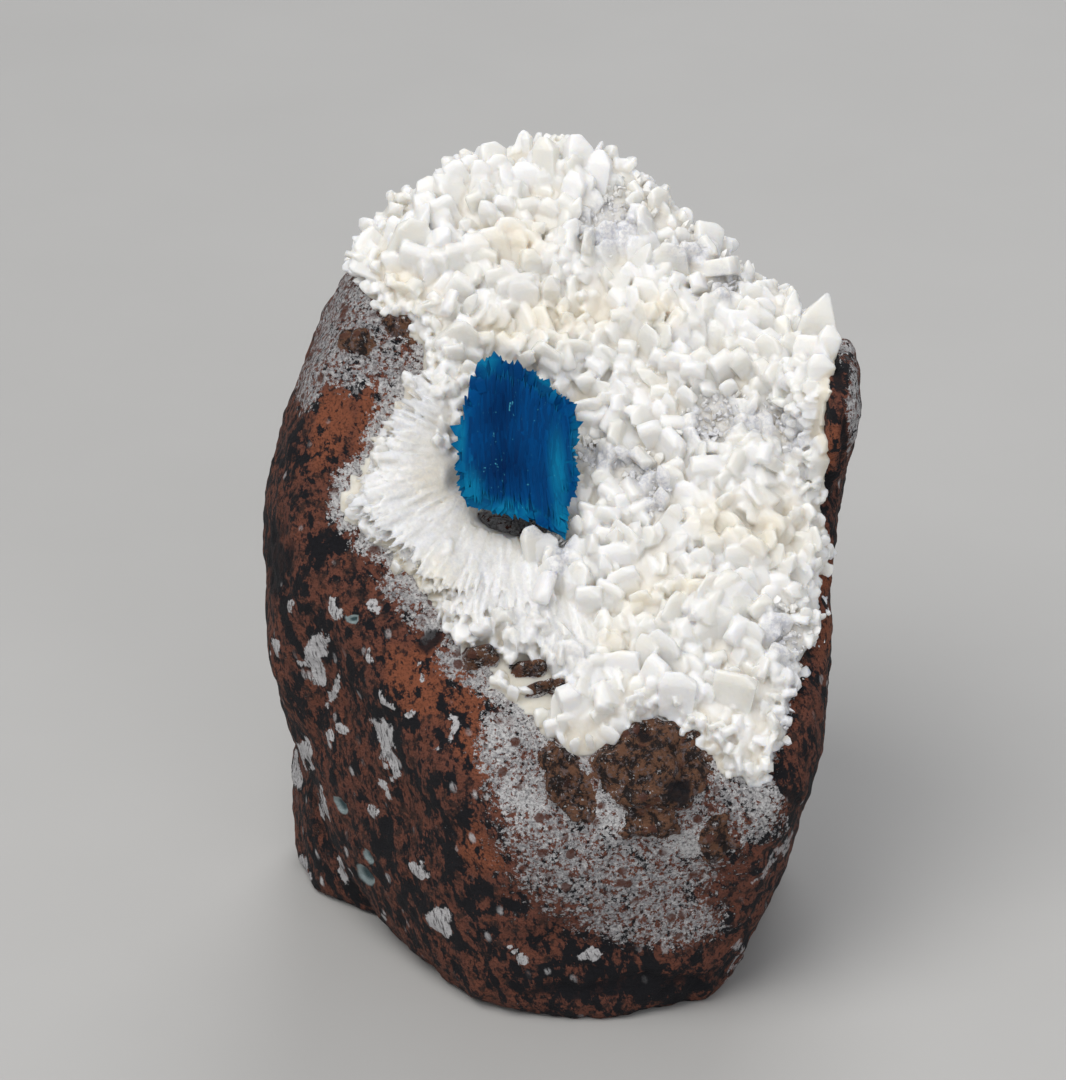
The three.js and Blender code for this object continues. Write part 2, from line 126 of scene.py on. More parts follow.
def add_light(name, place, size, watts, colour):
    """A round soft light that shines on the middle of the specimen."""
    data = bpy.data.lights.new(name, "AREA")
    data.shape = "DISK"
    data.size = size
    data.energy = watts
    data.color = colour
    light = bpy.data.objects.new(name, data)
    light.location = place
    light.rotation_euler = (MIDDLE - Vector(place)).to_track_quat("-Z", "Y").to_euler()
    scene.collection.objects.link(light)


for name, light in LIGHTS.items():
    add_light(name, *light)
world = bpy.data.worlds.new("studio")
world.use_nodes = True
world.node_tree.nodes["Background"].inputs["Color"].default_value = SKY_COLOUR
world.node_tree.nodes["Background"].inputs["Strength"].default_value = SKY_STRENGTH
scene.world = world


class Shade:
    """A socket in a node tree. Arithmetic on it adds Math nodes, and node() adds any other node."""

    def __init__(self, tree, socket):
        self.tree = tree
        self.socket = socket

    def node(self, kind, settings=None, sockets=None, out=0):
        made = self.tree.nodes.new(kind)
        for key, value in (settings or {}).items():
            if key == "stops":
                self.set_stops(made.color_ramp, value)
            else:
                setattr(made, key, value)
        for key, value in (sockets or {}).items():
            if isinstance(value, Shade):
                self.tree.links.new(value.socket, made.inputs[key])
            else:
                made.inputs[key].default_value = value
        return Shade(self.tree, made.outputs[out])

    @staticmethod
    def set_stops(ramp, stops):
        while len(ramp.elements) < len(stops):
            ramp.elements.new(1.0)
        for element, (position, colour) in zip(ramp.elements, stops):
            element.position = position
            element.color = colour

    def math(self, operation, first, second):
        return self.node("ShaderNodeMath", {"operation": operation}, {0: first, 1: second})

    def __add__(self, other):
        return self.math("ADD", self, other)

    __radd__ = __add__

    def __sub__(self, other):
        return self.math("SUBTRACT", self, other)

    def __rsub__(self, other):
        return self.math("SUBTRACT", other, self)

    def __mul__(self, other):
        return self.math("MULTIPLY", self, other)

    def least(self, other):
        return self.math("MINIMUM", self, other)

    def most(self, other):
        return self.math("MAXIMUM", self, other)

    def step(self, low, high):
        """0 below low and 1 above high, with a smooth rise between."""
        return self.node(
            "ShaderNodeMapRange", {"interpolation_type": "SMOOTHSTEP"},
            {"Value": self, "From Min": low, "From Max": high},
        )

    def mix(self, low, high):
        """The colour between low and high that this value picks."""
        return self.node("ShaderNodeMix", {"data_type": "RGBA"}, {0: self, 6: low, 7: high}, out=2)

    def stretch(self, scale, turn=(0.0, 0.0, 0.0)):
        """These coordinates turned and scaled, which draws out a pattern on them."""
        return self.node(
            "ShaderNodeMapping", {"vector_type": "TEXTURE"},
            {"Vector": self, "Rotation": turn, "Scale": tuple(1 / s for s in scale)},
        )

    def clouds(self, scale, detail=3.0, rough=0.55):
        return self.node(
            "ShaderNodeTexNoise", {},
            {"Vector": self, "Scale": scale, "Detail": detail, "Roughness": rough},
        )

    def cells(self, scale):
        """The distance from the nearest of many scattered points."""
        return self.node(
            "ShaderNodeTexVoronoi", {"feature": "F1"}, {"Vector": self, "Scale": scale, "Randomness": 1.0},
        )

    def attribute(self, name):
        return self.node("ShaderNodeAttribute", {"attribute_name": name}, out=2)

    def feeds(self, shader, name):
        self.tree.links.new(self.socket, shader.inputs[name])

    def bumps(self, shader, height_mm):
        """This value as relief of that height on the shader's normal."""
        bump = self.node("ShaderNodeBump", {}, {"Height": self, "Distance": height_mm * MM, "Strength": 1.0})
        bump.feeds(shader, "Normal")


def start_material(name):
    """A new material, its shader, and the object's own coordinates in millimetres."""
    material = bpy.data.materials.new(name)
    material.use_nodes = True
    tree = material.node_tree
    shader = tree.nodes["Principled BSDF"]
    place = Shade(tree, tree.nodes.new("ShaderNodeTexCoord").outputs["Object"])
    in_mm = place.node("ShaderNodeVectorMath", {"operation": "SCALE"}, {0: place, "Scale": 1 / MM})
    return material, shader, in_mm


def add_object(name, mesh):
    made = bpy.data.objects.new(name, mesh)
    scene.collection.objects.link(made)
    return made


floor_mesh = bpy.data.meshes.new("floor")
floor_mesh.from_pydata(
    [(x * FLOOR_SIZE / 2, y * FLOOR_SIZE / 2, 0) for x, y in ((-1, -1), (1, -1), (1, 1), (-1, 1))],
    [], [(0, 1, 2, 3)],
)
floor = add_object("floor", floor_mesh)
floor_paint, floor_shader, floor_place = start_material("pale_floor")
floor_place.clouds(0.05).mix(FLOOR_FLECK, FLOOR_COLOUR).feeds(floor_shader, "Base Color")
floor_shader.inputs["Roughness"].default_value = 0.6
floor_mesh.materials.append(floor_paint)


# The basalt: a weathered piece of red-brown vesicular lava, mottled with near-black, its old gas bubbles
# filled with white zeolite. A grey mineral frost lies over it where the crystal cavity began.
ROCK_VOXEL = 0.34 * MM
ROCK_SMOOTHING = 24
ROCK_RELIEF = [(5.5, 0.36), (1.9, 0.22), (0.8, 0.13)]
ROCK_SEED = 4

# Patches by their middle in the photograph, their half width and height, and their turn in degrees: a
# negative turn leans a tall patch to the right going down. All are in the photograph's pixels.
FROST_PATCHES = [
    ((615, 835), (165, 125), 0), ((520, 760), (58, 95), -12), ((738, 800), (40, 60), -25),
    ((650, 920), (110, 40), 0), ((350, 325), (78, 96), 15), ((310, 378), (26, 46), 18),
    ((400, 372), (32, 38), 0), ((368, 505), (30, 62), -20), ((425, 612), (80, 30), 38),
    ((470, 665), (55, 35), 30), ((395, 440), (26, 60), -20), ((350, 250), (30, 30), 0),
    ((853, 412), (10, 76), -2), ((846, 350), (16, 10), 0),
]
WHITE_PATCHES = [
    ((500, 735), (40, 50), 20), ((610, 812), (60, 34), 15), ((685, 840), (70, 24), 0),
    ((752, 795), (22, 46), -30), ((520, 800), (40, 40), 0), ((345, 262), (26, 26), 0),
    ((375, 385), (34, 14), 20), ((854, 412), (9, 76), -2), ((846, 350), (16, 10), 0),
]
MAIN_KNOB = [((656, 764), (70, 53), 0)]
SMALL_KNOBS = [((528, 667), (20, 10), 10), ((547, 691), (23, 12), 0), ((480, 658), (20, 13), 0)]
OTHER_KNOBS = [
    ((568, 786), (25, 54), -25), ((403, 325), (27, 20), 10), ((357, 345), (18, 16), 0),
    ((650, 822), (34, 22), 0), ((715, 835), (16, 30), 35),
]
HOLLOWS = [((512, 524), (42, 12), 13)]
RED_PATCHES = [
    ((829, 444), (18, 36), 0), ((818, 560), (16, 60), 0), ((815, 640), (14, 50), 8),
    ((470, 712), (30, 95), -8), ((420, 680), (45, 60), -10), ((330, 430), (30, 60), 20),
    ((372, 420), (24, 60), 10), ((382, 205), (14, 14), 0), ((410, 560), (14, 34), -30),
    ((480, 850), (26, 40), -20),
]
# Near-black patches: dark rock, and painted shadow in gaps, pits and under the crust's corner overhang at
# (776, 792).
DARK_AND_SHADOW_PATCHES = [
    ((837, 374), (8, 30), -8), ((845, 440), (4, 40), 2), ((776, 792), (16, 10), 35),
    ((677, 786), (20, 13), 0), ((275, 560), (18, 60), 0), ((800, 780), (16, 90), 8),
    ((780, 880), (18, 60), 18), ((648, 742), (16, 9), 20), ((610, 985), (150, 14), -4),
    ((425, 640), (22, 18), 0),
]
FILLED_BUBBLES = [
    ((317, 648), (12, 22), 8), ((319, 672), (6, 24), 6), ((384, 738), (12, 22), -22),
    ((393, 762), (6, 20), -16), ((440, 923), (15, 20), -25), ((336, 607), (8, 11), 0),
    ((422, 675), (4, 13), 6), ((440, 749), (9, 4), 35), ((384, 788), (5, 10), -30),
    ((310, 752), (5, 26), -14), ((324, 805), (6, 24), -22), ((297, 770), (9, 24), -16),
    ((333, 690), (6, 26), 6), ((308, 872), (7, 20), -14), ((289, 643), (7, 9), 0),
    ((339, 735), (7, 15), 4), ((590, 957), (12, 8), 0), ((375, 810), (10, 11), 0),
    ((420, 866), (15, 12), 0), ((386, 699), (5, 13), -28), ((370, 606), (8, 12), 0),
    ((300, 604), (5, 11), 0), ((520, 955), (5, 24), -58), ((341, 875), (5, 22), -24),
    ((409, 715), (10, 7), 0), ((452, 722), (4, 16), -4), ((366, 655), (6, 8), -30),
    ((427, 628), (12, 12), 0),
]
GLASSY_BUBBLES = [
    ((341, 805), (6, 13), -35), ((363, 876), (8, 16), -36), ((368, 857), (5, 10), -32),
    ((352, 619), (8, 5), 0),
]
VEINS = [
    [(806, 742), (797, 800), (779, 860), (757, 925)], [(818, 690), (808, 765), (792, 832), (768, 892)],
    [(800, 800), (770, 845), (752, 880)], [(729, 985), (733, 965), (738, 940)],
]
VEIN_REACH = 4.4
# The patches' edges wander by some pixels over a wavelength in millimetres, less on the right flank.
RAGGED_EDGES = [(2.2, 9), (0.8, 6)]
NEAT_SIDE = 805
NEAT_SHARE = 0.3

# Heights of the rock's own forms, in millimetres, and wavelengths of what is uneven on them.
KNOB_LIFT = 0.45
KNOB_RELIEF = [(1.6, 0.8), (0.8, 0.6)]
SMALL_KNOB_LIFT = 1.3
MAIN_KNOB_LIFT = 0.8
HOLLOW_DEPTH = 1.6
BUBBLE_DEPTH = 0.6
FILLING_LIFT = 0.05
DARK_DEPTH = 0.25
# Swellings of the flanks that finish the outline: a patch as above, then its height and the side that it
# faces, right or left.
SWELLS = [(((797, 745), (70, 230), 12), 1.5, 1), (((285, 690), (50, 120), 0), 0.9, -1)]


def merged_copy(node):
    """A CAD node's mesh as a new object, with its loose triangles joined."""
    mesh = frame["nodes"][node].data.copy()
    mesh.materials.clear()
    shape = bmesh.new()
    shape.from_mesh(mesh)
    bmesh.ops.remove_doubles(shape, verts=shape.verts, dist=0.001 * MM)
    shape.to_mesh(mesh)
    shape.free()
    return add_object(node + "_copy", mesh)


def finished_mesh(thing):
    """The object's mesh with its modifiers worked in, and the object itself removed."""
    evaluated = thing.evaluated_get(bpy.context.evaluated_depsgraph_get())
    mesh = bpy.data.meshes.new_from_object(evaluated)
    bpy.data.objects.remove(thing)
    return mesh


def remeshed(thing, voxel, smoothing):
    """An even skin of small faces over an object, with its hard facets eased."""
    remesh = thing.modifiers.new("remesh", "REMESH")
    remesh.mode = "VOXEL"
    remesh.voxel_size = voxel
    smooth = thing.modifiers.new("smooth", "SMOOTH")
    smooth.factor = 0.5
    smooth.iterations = smoothing
    return finished_mesh(thing)


def read_points(mesh):
    flat = np.zeros(3 * len(mesh.vertices), np.float32)
    mesh.vertices.foreach_get("co", flat)
    return flat.reshape(-1, 3).astype(float)


def read_normals(mesh):
    flat = np.zeros(3 * len(mesh.vertices), np.float32)
    mesh.vertex_normals.foreach_get("vector", flat)
    return flat.reshape(-1, 3).astype(float)


def write_points(mesh, points):
    mesh.vertices.foreach_set("co", points.astype(np.float32).ravel())
    mesh.update()


def write_values(mesh, name, values):
    mesh.attributes.new(name, "FLOAT", "POINT").data.foreach_set("value", values.astype(np.float32))


def write_vectors(mesh, name, vectors):
    attribute = mesh.attributes.new(name, "FLOAT_VECTOR", "POINT")
    attribute.data.foreach_set("vector", vectors.astype(np.float32).ravel())


def noise_at(points, wavelength_mm, shift=0.0):
    """Smooth noise from about -1 to 1 at each point."""
    scaled = points / (wavelength_mm * MM) + shift
    return np.array([noise.noise(p) for p in scaled])


def smoothstep(low, high, value):
    t = np.clip((value - low) / (high - low), 0, 1)
    return t * t * (3 - 2 * t)


def inside_patches(pixels, patches, soft):
    """How far each pixel lies inside any of the patches: 0 outside, 1 well inside."""
    best = np.zeros(len(pixels))
    for middle, half, turn in patches:
        angle = math.radians(turn)
        dx = pixels[:, 0] - middle[0]
        dy = pixels[:, 1] - middle[1]
        along = (dx * math.cos(angle) + dy * math.sin(angle)) / half[0]
        across = (dy * math.cos(angle) - dx * math.sin(angle)) / half[1]
        best = np.maximum(best, smoothstep(0, soft, 1 - np.hypot(along, across)))
    return best


def near_lines(pixels, lines, half_width):
    """1 on the lines, falling to 0 at the half width from them."""
    best = np.zeros(len(pixels))
    for line in lines:
        for a, b in zip(line[:-1], line[1:]):
            start, run = np.array(a, float), np.array(b, float) - np.array(a, float)
            share = np.clip((pixels - start) @ run / (run @ run), 0, 1)
            away = np.linalg.norm(pixels - start - share[:, None] * run, axis=1)
            best = np.maximum(best, 1 - away / half_width)
    return best


rock_mesh = remeshed(merged_copy("basalt_matrix"), ROCK_VOXEL, ROCK_SMOOTHING)
rock_mesh.name = "basalt"
rock_smooth = read_points(rock_mesh)
rock_normals = read_normals(rock_mesh)
rock_pixels = pixels_of(rock_smooth)
rock_facing = smoothstep(0.02, 0.2, rock_normals @ np.array(TOWARDS))
rock_faces = [tuple(face.vertices) for face in rock_mesh.polygons]
rock_tree = BVHTree.FromPolygons([Vector(p) for p in rock_smooth], rock_faces)

# The crust covers the rock wherever its solid lies close above the rock's surface.
COVER_REACH = 2.4 * MM
crust_copy = merged_copy("stilbite_crust")
crust_tree = BVHTree.FromObject(crust_copy, bpy.context.evaluated_depsgraph_get())
bpy.data.objects.remove(crust_copy)
covered = np.array([
    crust_tree.ray_cast(Vector(p), Vector(n), COVER_REACH)[0] is not None
    for p, n in zip(rock_smooth, rock_normals)
])
# On the right the crust stops short of the rock's edge, which shows beside it as a thin bare flank.
CRUST_RIGHT_EDGE = [
    (838, 340), (834, 400), (822, 440), (826, 480), (826, 540),
    (822, 600), (808, 660), (792, 740), (772, 792),
]
EDGE_INSET = 1
EDGE_FOOT = 40
RIM_COVER = [((808, 430), (48, 100), 0)]
right_limit = np.interp(rock_pixels[:, 1], [y for x, y in CRUST_RIGHT_EDGE], [x for x, y in CRUST_RIGHT_EDGE])
edge_top, edge_bottom = CRUST_RIGHT_EDGE[0][1], CRUST_RIGHT_EDGE[-1][1] + EDGE_FOOT
level = (rock_pixels[:, 1] > edge_top) & (rock_pixels[:, 1] < edge_bottom)
turned_away = (rock_facing < 0.1) & (rock_normals[:, 0] > 0.3)
rim_cover = inside_patches(rock_pixels, RIM_COVER, 0.2)
covered |= rim_cover * rock_facing > 0.2
covered &= ~(level & ((rock_pixels[:, 0] > right_limit - EDGE_INSET) | turned_away))
bare_points = KDTree(int((~covered).sum()))
covered_points = KDTree(int(covered.sum()))
for i, (point, hidden) in enumerate(zip(rock_smooth, covered)):
    (covered_points if hidden else bare_points).insert(Vector(point), i)
bare_points.balance()
covered_points.balance()
to_crust = np.array([
    0.0 if hidden else covered_points.find(Vector(point))[2] for point, hidden in zip(rock_smooth, covered)
])

wander = np.stack([
    sum(reach * noise_at(rock_smooth, wavelength, shift) for wavelength, reach in RAGGED_EDGES)
    for shift in (20.0, 31.0)
], axis=1)
ragged_pixels = rock_pixels + np.where(rock_pixels[:, :1] > NEAT_SIDE, NEAT_SHARE, 1.0) * wander
MARKS = {
    # name: patches, softness of their edges
    "frost": (FROST_PATCHES, 0.5),
    "white": (WHITE_PATCHES, 0.9),
    "brown": (MAIN_KNOB + SMALL_KNOBS + OTHER_KNOBS, 0.35),
    "red": (RED_PATCHES, 0.8),
    "dark": (DARK_AND_SHADOW_PATCHES, 0.7),
    "filled": (FILLED_BUBBLES, 0.6),
}
marks = {name: inside_patches(ragged_pixels, *mark) for name, mark in MARKS.items()}
marks["glassy"] = inside_patches(rock_pixels, GLASSY_BUBBLES, 0.8)
marks["vein"] = near_lines(ragged_pixels, VEINS, VEIN_REACH)
marks = {name: amount * rock_facing for name, amount in marks.items()}
# Frost also follows the crust's edge, but not where the rock turns to the right.
FRINGE_REACH = 1.5 * MM
fringe = (1 - smoothstep(0.0, FRINGE_REACH, to_crust)) * (1 - smoothstep(0.25, 0.6, rock_normals[:, 0]))
fringe = fringe * (1 - rim_cover)
marks["frost"] = np.maximum(marks["frost"], fringe)
marks["white"] = np.maximum(marks["white"], 0.9 * fringe ** 2)

relief = sum(height * noise_at(rock_smooth, wavelength, ROCK_SEED) for wavelength, height in ROCK_RELIEF)
knob_relief = sum(height * noise_at(rock_smooth, wavelength) for wavelength, height in KNOB_RELIEF)
relief = relief + marks["brown"] * (KNOB_LIFT + knob_relief) - marks["glassy"] * BUBBLE_DEPTH
relief = relief - marks["dark"] * DARK_DEPTH + marks["filled"] * FILLING_LIFT
relief = relief + SMALL_KNOB_LIFT * rock_facing * inside_patches(ragged_pixels, SMALL_KNOBS, 0.7)
relief = relief + MAIN_KNOB_LIFT * rock_facing * inside_patches(rock_pixels, MAIN_KNOB, 0.8)
relief = relief - HOLLOW_DEPTH * rock_facing * inside_patches(rock_pixels, HOLLOWS, 0.6)
for patch, height, side in SWELLS:
    sideways = smoothstep(0.0, 0.6, side * rock_normals[:, 0])
    relief = relief + height * inside_patches(rock_pixels, [patch], 0.8) * sideways
rock_points = rock_smooth + rock_normals * (relief * MM)[:, None]
rock_points[:, 2] = np.maximum(rock_points[:, 2], 0)
write_points(rock_mesh, rock_points)
for name, amount in marks.items():
    write_values(rock_mesh, name, amount)
rock_mesh.shade_smooth()

RED = (0.178, 0.064, 0.042, 1.0)
RUST = (0.285, 0.092, 0.046, 1.0)
UMBER = (0.050, 0.026, 0.021, 1.0)
CHARCOAL = (0.009, 0.009, 0.012, 1.0)
FROST_GREY = (0.26, 0.255, 0.265, 1.0)
FROST_WHITE = (0.76, 0.75, 0.75, 1.0)
FILLING = (0.64, 0.63, 0.64, 1.0)
FILLING_DARK = (0.070, 0.064, 0.066, 1.0)
KNOB_BROWN = (0.175, 0.084, 0.048, 1.0)
KNOB_DARK = (0.018, 0.013, 0.012, 1.0)
KNOB_GREY = (0.17, 0.14, 0.145, 1.0)
DOT_RED = (0.110, 0.043, 0.030, 1.0)
GLASSY = (0.34, 0.42, 0.43, 1.0)
GLASSY_PIT_SHADE = (0.07, 0.12, 0.13, 1.0)
FLOW_TURN = (0.0, math.radians(-16), 0.0)

basalt_paint, basalt_shader, rock_place = start_material("basalt")
flow = rock_place.stretch((1.0, 1.0, 0.6), FLOW_TURN)
red_amount = rock_place.attribute("red")
knob_edge = (rock_place.clouds(1.3, 4.0, 0.72) - 0.5) * 1.5
brown_amount = (rock_place.attribute("brown") + knob_edge).step(0.28, 0.46)
grain = rock_place.clouds(6.0, 3.0, 0.6)
blotch = flow.clouds(1.0, 5.0, 0.66)
broad = rock_place.clouds(0.16, 2.0)
reds = (rock_place.clouds(0.7, 4.0) * 0.6 + red_amount * 0.4 + grain * 0.2).step(0.30, 0.72).mix(RED, RUST)
reds = (rock_place.clouds(1.4, 4.0, 0.65) - red_amount * 0.15).step(0.46, 0.62).mix(reds, UMBER)
frost_amount = rock_place.attribute("frost")
charred = (blotch + (broad - 0.5) * 0.35 - red_amount * 0.09 - frost_amount * 0.05).step(0.48, 0.535)
colour = charred.mix(reds, CHARCOAL)
colour = (flow.clouds(2.6, 3.0, 0.6).step(0.54, 0.62) * 0.85).mix(colour, CHARCOAL)
colour = (grain.step(0.48, 0.66) * 0.55).mix(colour, CHARCOAL)
flecks = flow.cells(0.62)
fleck_size = flow.clouds(0.35, 1.0).step(0.42, 0.7)
fleck = (1 - (flecks + (grain - 0.5) * 0.12).step(0.10, 0.20)) * fleck_size
filling = flow.stretch((2.2, 2.2, 0.7)).clouds(2.4, 3.0, 0.7).step(0.34, 0.52).mix(FILLING_DARK, FILLING)
filled_mask = (rock_place.attribute("filled") + (grain - 0.5) * 0.9).step(0.30, 0.48)
vein_mask = (rock_place.attribute("vein") + (grain - 0.5) * 1.2).step(0.45, 0.7)
pale_mask = filled_mask.most(fleck).most(vein_mask * 0.7)
colour = pale_mask.mix(colour, filling)
knob = rock_place.clouds(1.3, 5.0, 0.75).step(0.44, 0.57).mix(KNOB_DARK, KNOB_BROWN)
knob = (rock_place.clouds(2.2, 4.0, 0.75).step(0.54, 0.62) * 0.7).mix(knob, KNOB_GREY)
colour = brown_amount.mix(colour, knob)
# Near-black from the dark patches: dark rock and painted shadow in gaps and under overhangs.
dark_and_shadow_amount = rock_place.attribute("dark").step(0.2, 0.8)
colour = (dark_and_shadow_amount * 0.9).mix(colour, CHARCOAL)
white_amount = rock_place.attribute("white")
salt = rock_place.clouds(2.8, 4.0, 0.75)
salted = frost_amount * 0.245 + white_amount * 0.05 + salt
salt_mask = (salted - brown_amount * 0.16 - dark_and_shadow_amount * 0.3).step(0.70, 0.74)
paleness = (rock_place.clouds(3.8, 3.0, 0.7) * 0.9 + white_amount * 0.12).step(0.30, 0.72)
frost_tone = paleness.mix(FROST_GREY, FROST_WHITE)
frost_tone = (rock_place.clouds(6.0, 2.0).step(0.52, 0.66) * 0.6).mix(frost_tone, FILLING_DARK)
colour = salt_mask.mix(colour, frost_tone)
dots = 1 - (rock_place.cells(0.85) + (grain - 0.5) * 0.35).step(0.25, 0.35)
dot_mask = dots * rock_place.clouds(0.45, 1.0).step(0.42, 0.60) * frost_amount
colour = (dot_mask * 0.9).mix(colour, DOT_RED)
glassy_amount = rock_place.attribute("glassy")
# Glassy bubbles: pale glass at the rim, darker towards the middle as painted shade in the sunken pit.
colour = glassy_amount.step(0.08, 0.3).mix(colour, glassy_amount.step(0.45, 0.85).mix(GLASSY, GLASSY_PIT_SHADE))
colour.feeds(basalt_shader, "Base Color")
(0.60 + grain * 0.3 - glassy_amount * 0.4).feeds(basalt_shader, "Roughness")
(rock_place.clouds(2.6, 5.0, 0.68) + grain * 0.25 + salt * 0.2).bumps(basalt_shader, 0.55)
basalt_shader.inputs["Specular IOR Level"].default_value = 0.22
rock_mesh.materials.append(basalt_paint)
rock = add_object("basalt", rock_mesh)
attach(rock, "root")
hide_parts("basalt_matrix")


# The stilbite druse: one mass of pearly white crystal that lines the old cavity. Its bed thins out over the
# rock at its edges, and stubby tablets with chisel points stand out of it side by side like a rough thatch.
# Silky sheaves of fine laths fan out flat from under the blue cluster.
BED_HEIGHT = 1.5 * MM
BED_DEPTH = 0.35 * MM
BED_TAPER = 2.4 * MM
BED_RELIEF = [(2.2, 0.25), (0.9, 0.16)]
BED_RAGGED = 0.8 * MM
BED_LEAST = 0.08
HOLLOW_FRONT = [((514, 548), (66, 26), 8)]
GRANULAR_EDGE = [((520, 660), (64, 38), 18)]
SMEARED_EDGE = [((530, 705), (130, 80), 30), ((400, 560), (60, 110), -35)]
THIN_CRUST = [((505, 690), (85, 60), 20), ((400, 570), (30, 70), -35)]
LOW_TOP = [((400, 205), (120, 44), -38), ((505, 165), (44, 30), 0)]
# Rock that shows through the crust: the fronts of the small knobs and the hollows, and a border round them.
KNOB_FRONTS = [((x, y + 6), (w + 3, h + 5), turn) for (x, y), (w, h), turn in SMALL_KNOBS]
BARE_SPOTS = KNOB_FRONTS + HOLLOWS
WIDER_GAPS = [((x, y), (w * 1.15 + 7, h * 1.15 + 7), turn) for (x, y), (w, h), turn in BARE_SPOTS]
# Where the bed is thinner, how soft that place's edge is, and the share of the height that is missing.
THINNED = [(THIN_CRUST, 0.8, 0.82), (WIDER_GAPS, 0.6, 0.9), (LOW_TOP, 0.8, 0.6)]
# How soft the edges of the three kinds of patch below are.
CREAM_SOFT, GREY_SOFT, FIBRE_SOFT = 1.0, 0.7, 0.6
CREAM_PATCHES = [
    ((515, 240), (55, 40), 0), ((560, 315), (80, 42), 0), ((500, 330), (50, 30), 0),
    ((685, 585), (40, 16), -20), ((640, 600), (40, 24), -20), ((435, 580), (40, 46), 40),
    ((615, 640), (30, 26), 0), ((770, 530), (60, 50), 0), ((430, 480), (40, 40), 0),
    ((400, 285), (30, 22), 40), ((660, 310), (40, 30), 0), ((720, 520), (50, 40), 0),
]
GREY_PATCHES = [
    ((610, 458), (46, 20), 6), ((650, 478), (40, 18), 20), ((715, 420), (46, 30), -25),
    ((770, 420), (46, 22), 0), ((610, 225), (44, 40), 0), ((725, 285), (22, 24), 0),
    ((690, 250), (30, 20), 0), ((785, 640), (24, 50), -25), ((790, 720), (14, 60), 10),
    ((560, 560), (16, 34), 20), ((655, 500), (16, 26), 0), ((460, 500), (14, 18), 0),
    ((520, 525), (50, 14), 14), ((795, 440), (20, 20), 0),
]
FIBRE_PATCHES = [
    ((425, 500), (80, 80), 0), ((480, 580), (85, 60), 20), ((545, 640), (75, 55), 30),
    ((415, 425), (45, 60), 0),
]
CLUSTER_RIM = [
    (494, 353), (509, 361), (533, 370), (546, 381), (562, 394), (577, 410), (581, 431), (574, 452),
    (580, 471), (579, 490), (569, 508), (566, 539), (552, 530), (533, 520), (512, 516), (492, 513),
    (470, 509), (461, 498), (458, 471), (458, 447), (459, 430), (466, 418), (472, 389), (480, 364),
]


def inside_rim(pixels, grown):
    """Which pixels lie inside the blue cluster's outline, grown by some pixels."""
    rim = np.array(CLUSTER_RIM, float)
    middle = rim.mean(axis=0)
    spokes = rim - middle
    rim = middle + spokes * (1 + grown / np.linalg.norm(spokes, axis=1))[:, None]
    inside = np.zeros(len(pixels), bool)
    for a, b in zip(rim, np.roll(rim, -1, axis=0)):
        crosses = (a[1] > pixels[:, 1]) != (b[1] > pixels[:, 1])
        at = a[0] + (pixels[:, 1] - a[1]) / (b[1] - a[1] + 1e-9) * (b[0] - a[0])
        inside ^= crosses & (pixels[:, 0] < at)
    return inside


to_bare = np.array([bare_points.find(Vector(point))[2] for point in rock_smooth])
edge = to_bare + BED_RAGGED * (noise_at(rock_smooth, 1.5) - 0.3)
grey = inside_patches(rock_pixels, GREY_PATCHES, GREY_SOFT)
fibrous = inside_patches(rock_pixels, FIBRE_PATCHES, FIBRE_SOFT)
gaps = inside_patches(rock_pixels, HOLLOWS, 0.5)
near_gaps = inside_patches(rock_pixels, WIDER_GAPS, 0.5)
bare = (near_gaps > 0.2) | (inside_rim(rock_pixels, -5) & (rock_facing > 0))
lowered = inside_patches(rock_pixels, LOW_TOP, 0.8)
thickness = BED_LEAST + (1 - BED_LEAST) * smoothstep(0.0, BED_TAPER, edge)
for patches, soft, share in THINNED:
    thickness = thickness * (1 - share * inside_patches(rock_pixels, patches, soft))
rise = BED_HEIGHT * thickness
lumps = MM * sum(height * noise_at(rock_smooth, wavelength) for wavelength, height in BED_RELIEF)


def kept_faces(kept):
    """The rock's smooth faces whose corners are all kept, renumbered, and the points that they use."""
    faces = [face for face in rock_faces if all(kept[v] for v in face)]
    used = sorted({v for face in faces for v in face})
    renumbered = {old: new for new, old in enumerate(used)}
    return [[renumbered[v] for v in face] for face in faces], np.array(used)


def bed_sheet():
    """A closed sheet between the rock's skin lifted by the bed's height and the same skin sunk a little."""
    faces, used = kept_faces(covered & (edge > 0) & (gaps < 0.3))
    count = len(used)
    sides = {}
    for face in faces:
        for a, b in zip(face, face[1:] + face[:1]):
            if sides.pop((b, a), None) is None:
                sides[(a, b)] = True
    upper = rock_smooth[used] + rock_normals[used] * (rise + thickness * lumps)[used][:, None]
    lower = rock_smooth[used] - rock_normals[used] * BED_DEPTH
    shell = faces + [[v + count for v in reversed(face)] for face in faces]
    shell += [[b, a, a + count, b + count] for a, b in sides]
    mesh = bpy.data.meshes.new("stilbite_bed")
    mesh.from_pydata(np.concatenate([upper, lower]).tolist(), [], shell)
    write_values(mesh, "tint", np.tile(0.5 + 0.5 * noise_at(rock_smooth[used], 2.0, 9.0), 2))
    return mesh


TABLETS = {
    # name: width, depth, length and length of the point in mm, share of the width left at the end
    "stubby": (1.9, 1.2, 3.0, 0.7, 0.5),
    "plate": (2.8, 0.9, 3.3, 0.7, 0.55),
    "block": (2.0, 1.4, 2.8, 0.5, 0.7),
    "spear": (1.6, 1.0, 3.5, 1.1, 0.2),
    "chisel": (2.3, 1.0, 3.2, 0.8, 0.4),
    "slab": (2.5, 1.1, 2.9, 0.45, 0.7),
}
TABLET_ROOT = 0.8
TABLET_BEVEL = 0.1
TABLET_SKEW = 0.12
THATCH_LEAN = 0.9
THATCH_SWING = 3.0
GROWTH_DENSITY = 4.0e7


